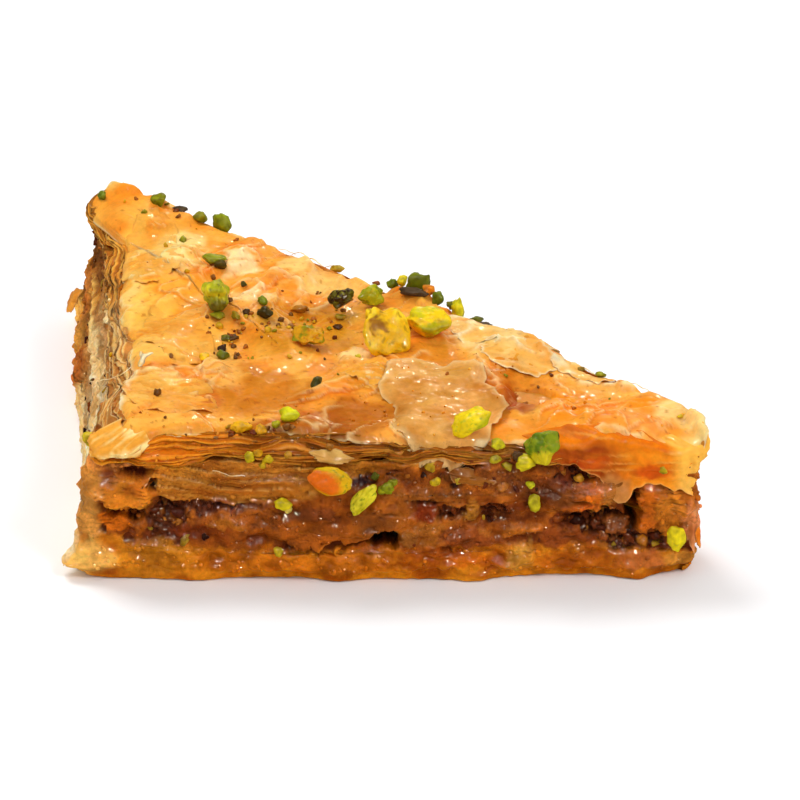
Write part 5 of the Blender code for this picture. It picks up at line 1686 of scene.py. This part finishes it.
syrup = food_material("syrup", grain=1.5, bump=0.01, rough=0.05, wet_rough=0.03, scatter=0.1, reach=0.5, coat=1.0,
                      specular=0.5, mottle=0.15)
syrup_drops()


# --- Stage, light and camera ---------------------------------------------------------------------------------

# Where the camera looks, from the right-angled corner, in mm; its tilt in degrees and distance in metres
AIM, CAMERA_TILT, CAMERA_DISTANCE = (39.0, 34.0, 8.7), 26.0, 0.7
CAMERA_LENS = 232


def mix_shader(tree, fact, first, second):
    """A shader that turns from the first to the second where the light path's fact holds."""
    path, made = node(tree, "ShaderNodeLightPath"), node(tree, "ShaderNodeMixShader")
    for socket, source in zip(made.inputs, (path.outputs[fact], first, second)):
        tree.links.new(source, socket)
    return made.outputs["Shader"]


def stage_and_light():
    """A pale floor, a white room, soft light with small gleams, and the camera."""
    scene = bpy.context.scene
    white = bpy.data.materials.new("studio_white")
    white.use_nodes = True
    tree = white.node_tree
    shader = tree.nodes["Principled BSDF"]
    shader.inputs["Roughness"].default_value = 0.9
    shader.inputs["Specular IOR Level"].default_value = 0.1
    shader.inputs["Base Color"].default_value = (0.97, 0.97, 0.98, 1)
    dark = node(tree, "ShaderNodeBsdfDiffuse", Color=(0.08, 0.07, 0.06, 1))
    floor_look = mix_shader(tree, "Is Glossy Ray", shader.outputs["BSDF"], dark.outputs["BSDF"])
    tree.links.new(floor_look, tree.nodes["Material Output"].inputs["Surface"])
    bm = bmesh.new()
    bmesh.ops.create_grid(bm, x_segments=8, y_segments=8, size=2.0)
    mesh = bpy.data.meshes.new("floor")
    bm.to_mesh(mesh)
    bm.free()
    mesh.materials.append(white)
    floor = bpy.data.objects.new("floor", mesh)
    scene.collection.objects.link(floor)
    floor.location = (0, 0, cad_box[0].z - 0.0002)
    floor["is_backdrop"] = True

    world = bpy.data.worlds.new("studio")
    scene.world = world
    world.use_nodes = True
    tree = world.node_tree
    sky = tree.nodes["Background"]
    sky.inputs["Color"].default_value = (1, 1, 1, 1)
    sky.inputs["Strength"].default_value = 0.62
    backdrop, dim = (node(tree, "ShaderNodeBackground", Color=(1, 1, 1, 1), Strength=s).outputs["Background"]
                     for s in (1.0, 0.06))
    room = mix_shader(tree, "Is Glossy Ray", sky.outputs["Background"], dim)
    room = mix_shader(tree, "Is Camera Ray", room, backdrop)
    tree.links.new(room, tree.nodes["World Output"].inputs["Surface"])

    def area(name, place, aim, size, power, colour=(1, 1, 1)):
        light = bpy.data.lights.new(name, "AREA")
        light.shape = "RECTANGLE"
        light.size, light.size_y = size
        light.energy = power
        light.color = colour
        lamp = bpy.data.objects.new(name, light)
        lamp.location = place
        lamp.rotation_euler = (Vector(aim) - Vector(place)).to_track_quat("-Z", "Y").to_euler()
        scene.collection.objects.link(lamp)
        return lamp

    for name, place, side, power in (("key", (-0.25, 0.30, 0.60), 0.30, 2.6),
                                     ("fill", (0.35, -0.35, 0.50), 0.20, 1.5)):
        area(name, place, (0, 0, 0), (side, side), power).visible_glossy = False
    for name, place, size, power in (("gleam", (0.05, -0.36, 0.70), (0.07, 0.07), 7.0),
                                     ("gleam_left", (-0.40, -0.40, 0.50), (0.06, 0.06), 4.5),
                                     ("gleam_right", (0.50, -0.30, 0.45), (0.06, 0.06), 3.5),
                                     ("gleam_back", (0.10, 0.75, 0.45), (0.10, 0.06), 1.6)):
        area(name, place, (0, 0, 0.01), size, power, (1.0, 0.88, 0.70)).visible_diffuse = False

    camera = bpy.data.cameras.new("camera")
    camera.sensor_width = 36
    camera.lens = CAMERA_LENS
    camera.clip_start, camera.clip_end = 0.05, 10
    view = bpy.data.objects.new("camera", camera)
    scene.collection.objects.link(view)
    aim = Vector(((CORNER[0] + AIM[0]) * MM, (CORNER[1] + AIM[1]) * MM, AIM[2] * MM))
    tilt = math.radians(CAMERA_TILT)
    view.location = aim + Vector((0, -math.cos(tilt), math.sin(tilt))) * CAMERA_DISTANCE
    view.rotation_euler = (aim - view.location).to_track_quat("-Z", "Y").to_euler()
    scene.camera = view
    scene.view_settings.view_transform = "Standard"
    scene.view_settings.look = "None"


stage_and_light()

size = {"cad": [list(corner) for corner in cad_box], "visual": [list(corner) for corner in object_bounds()]}
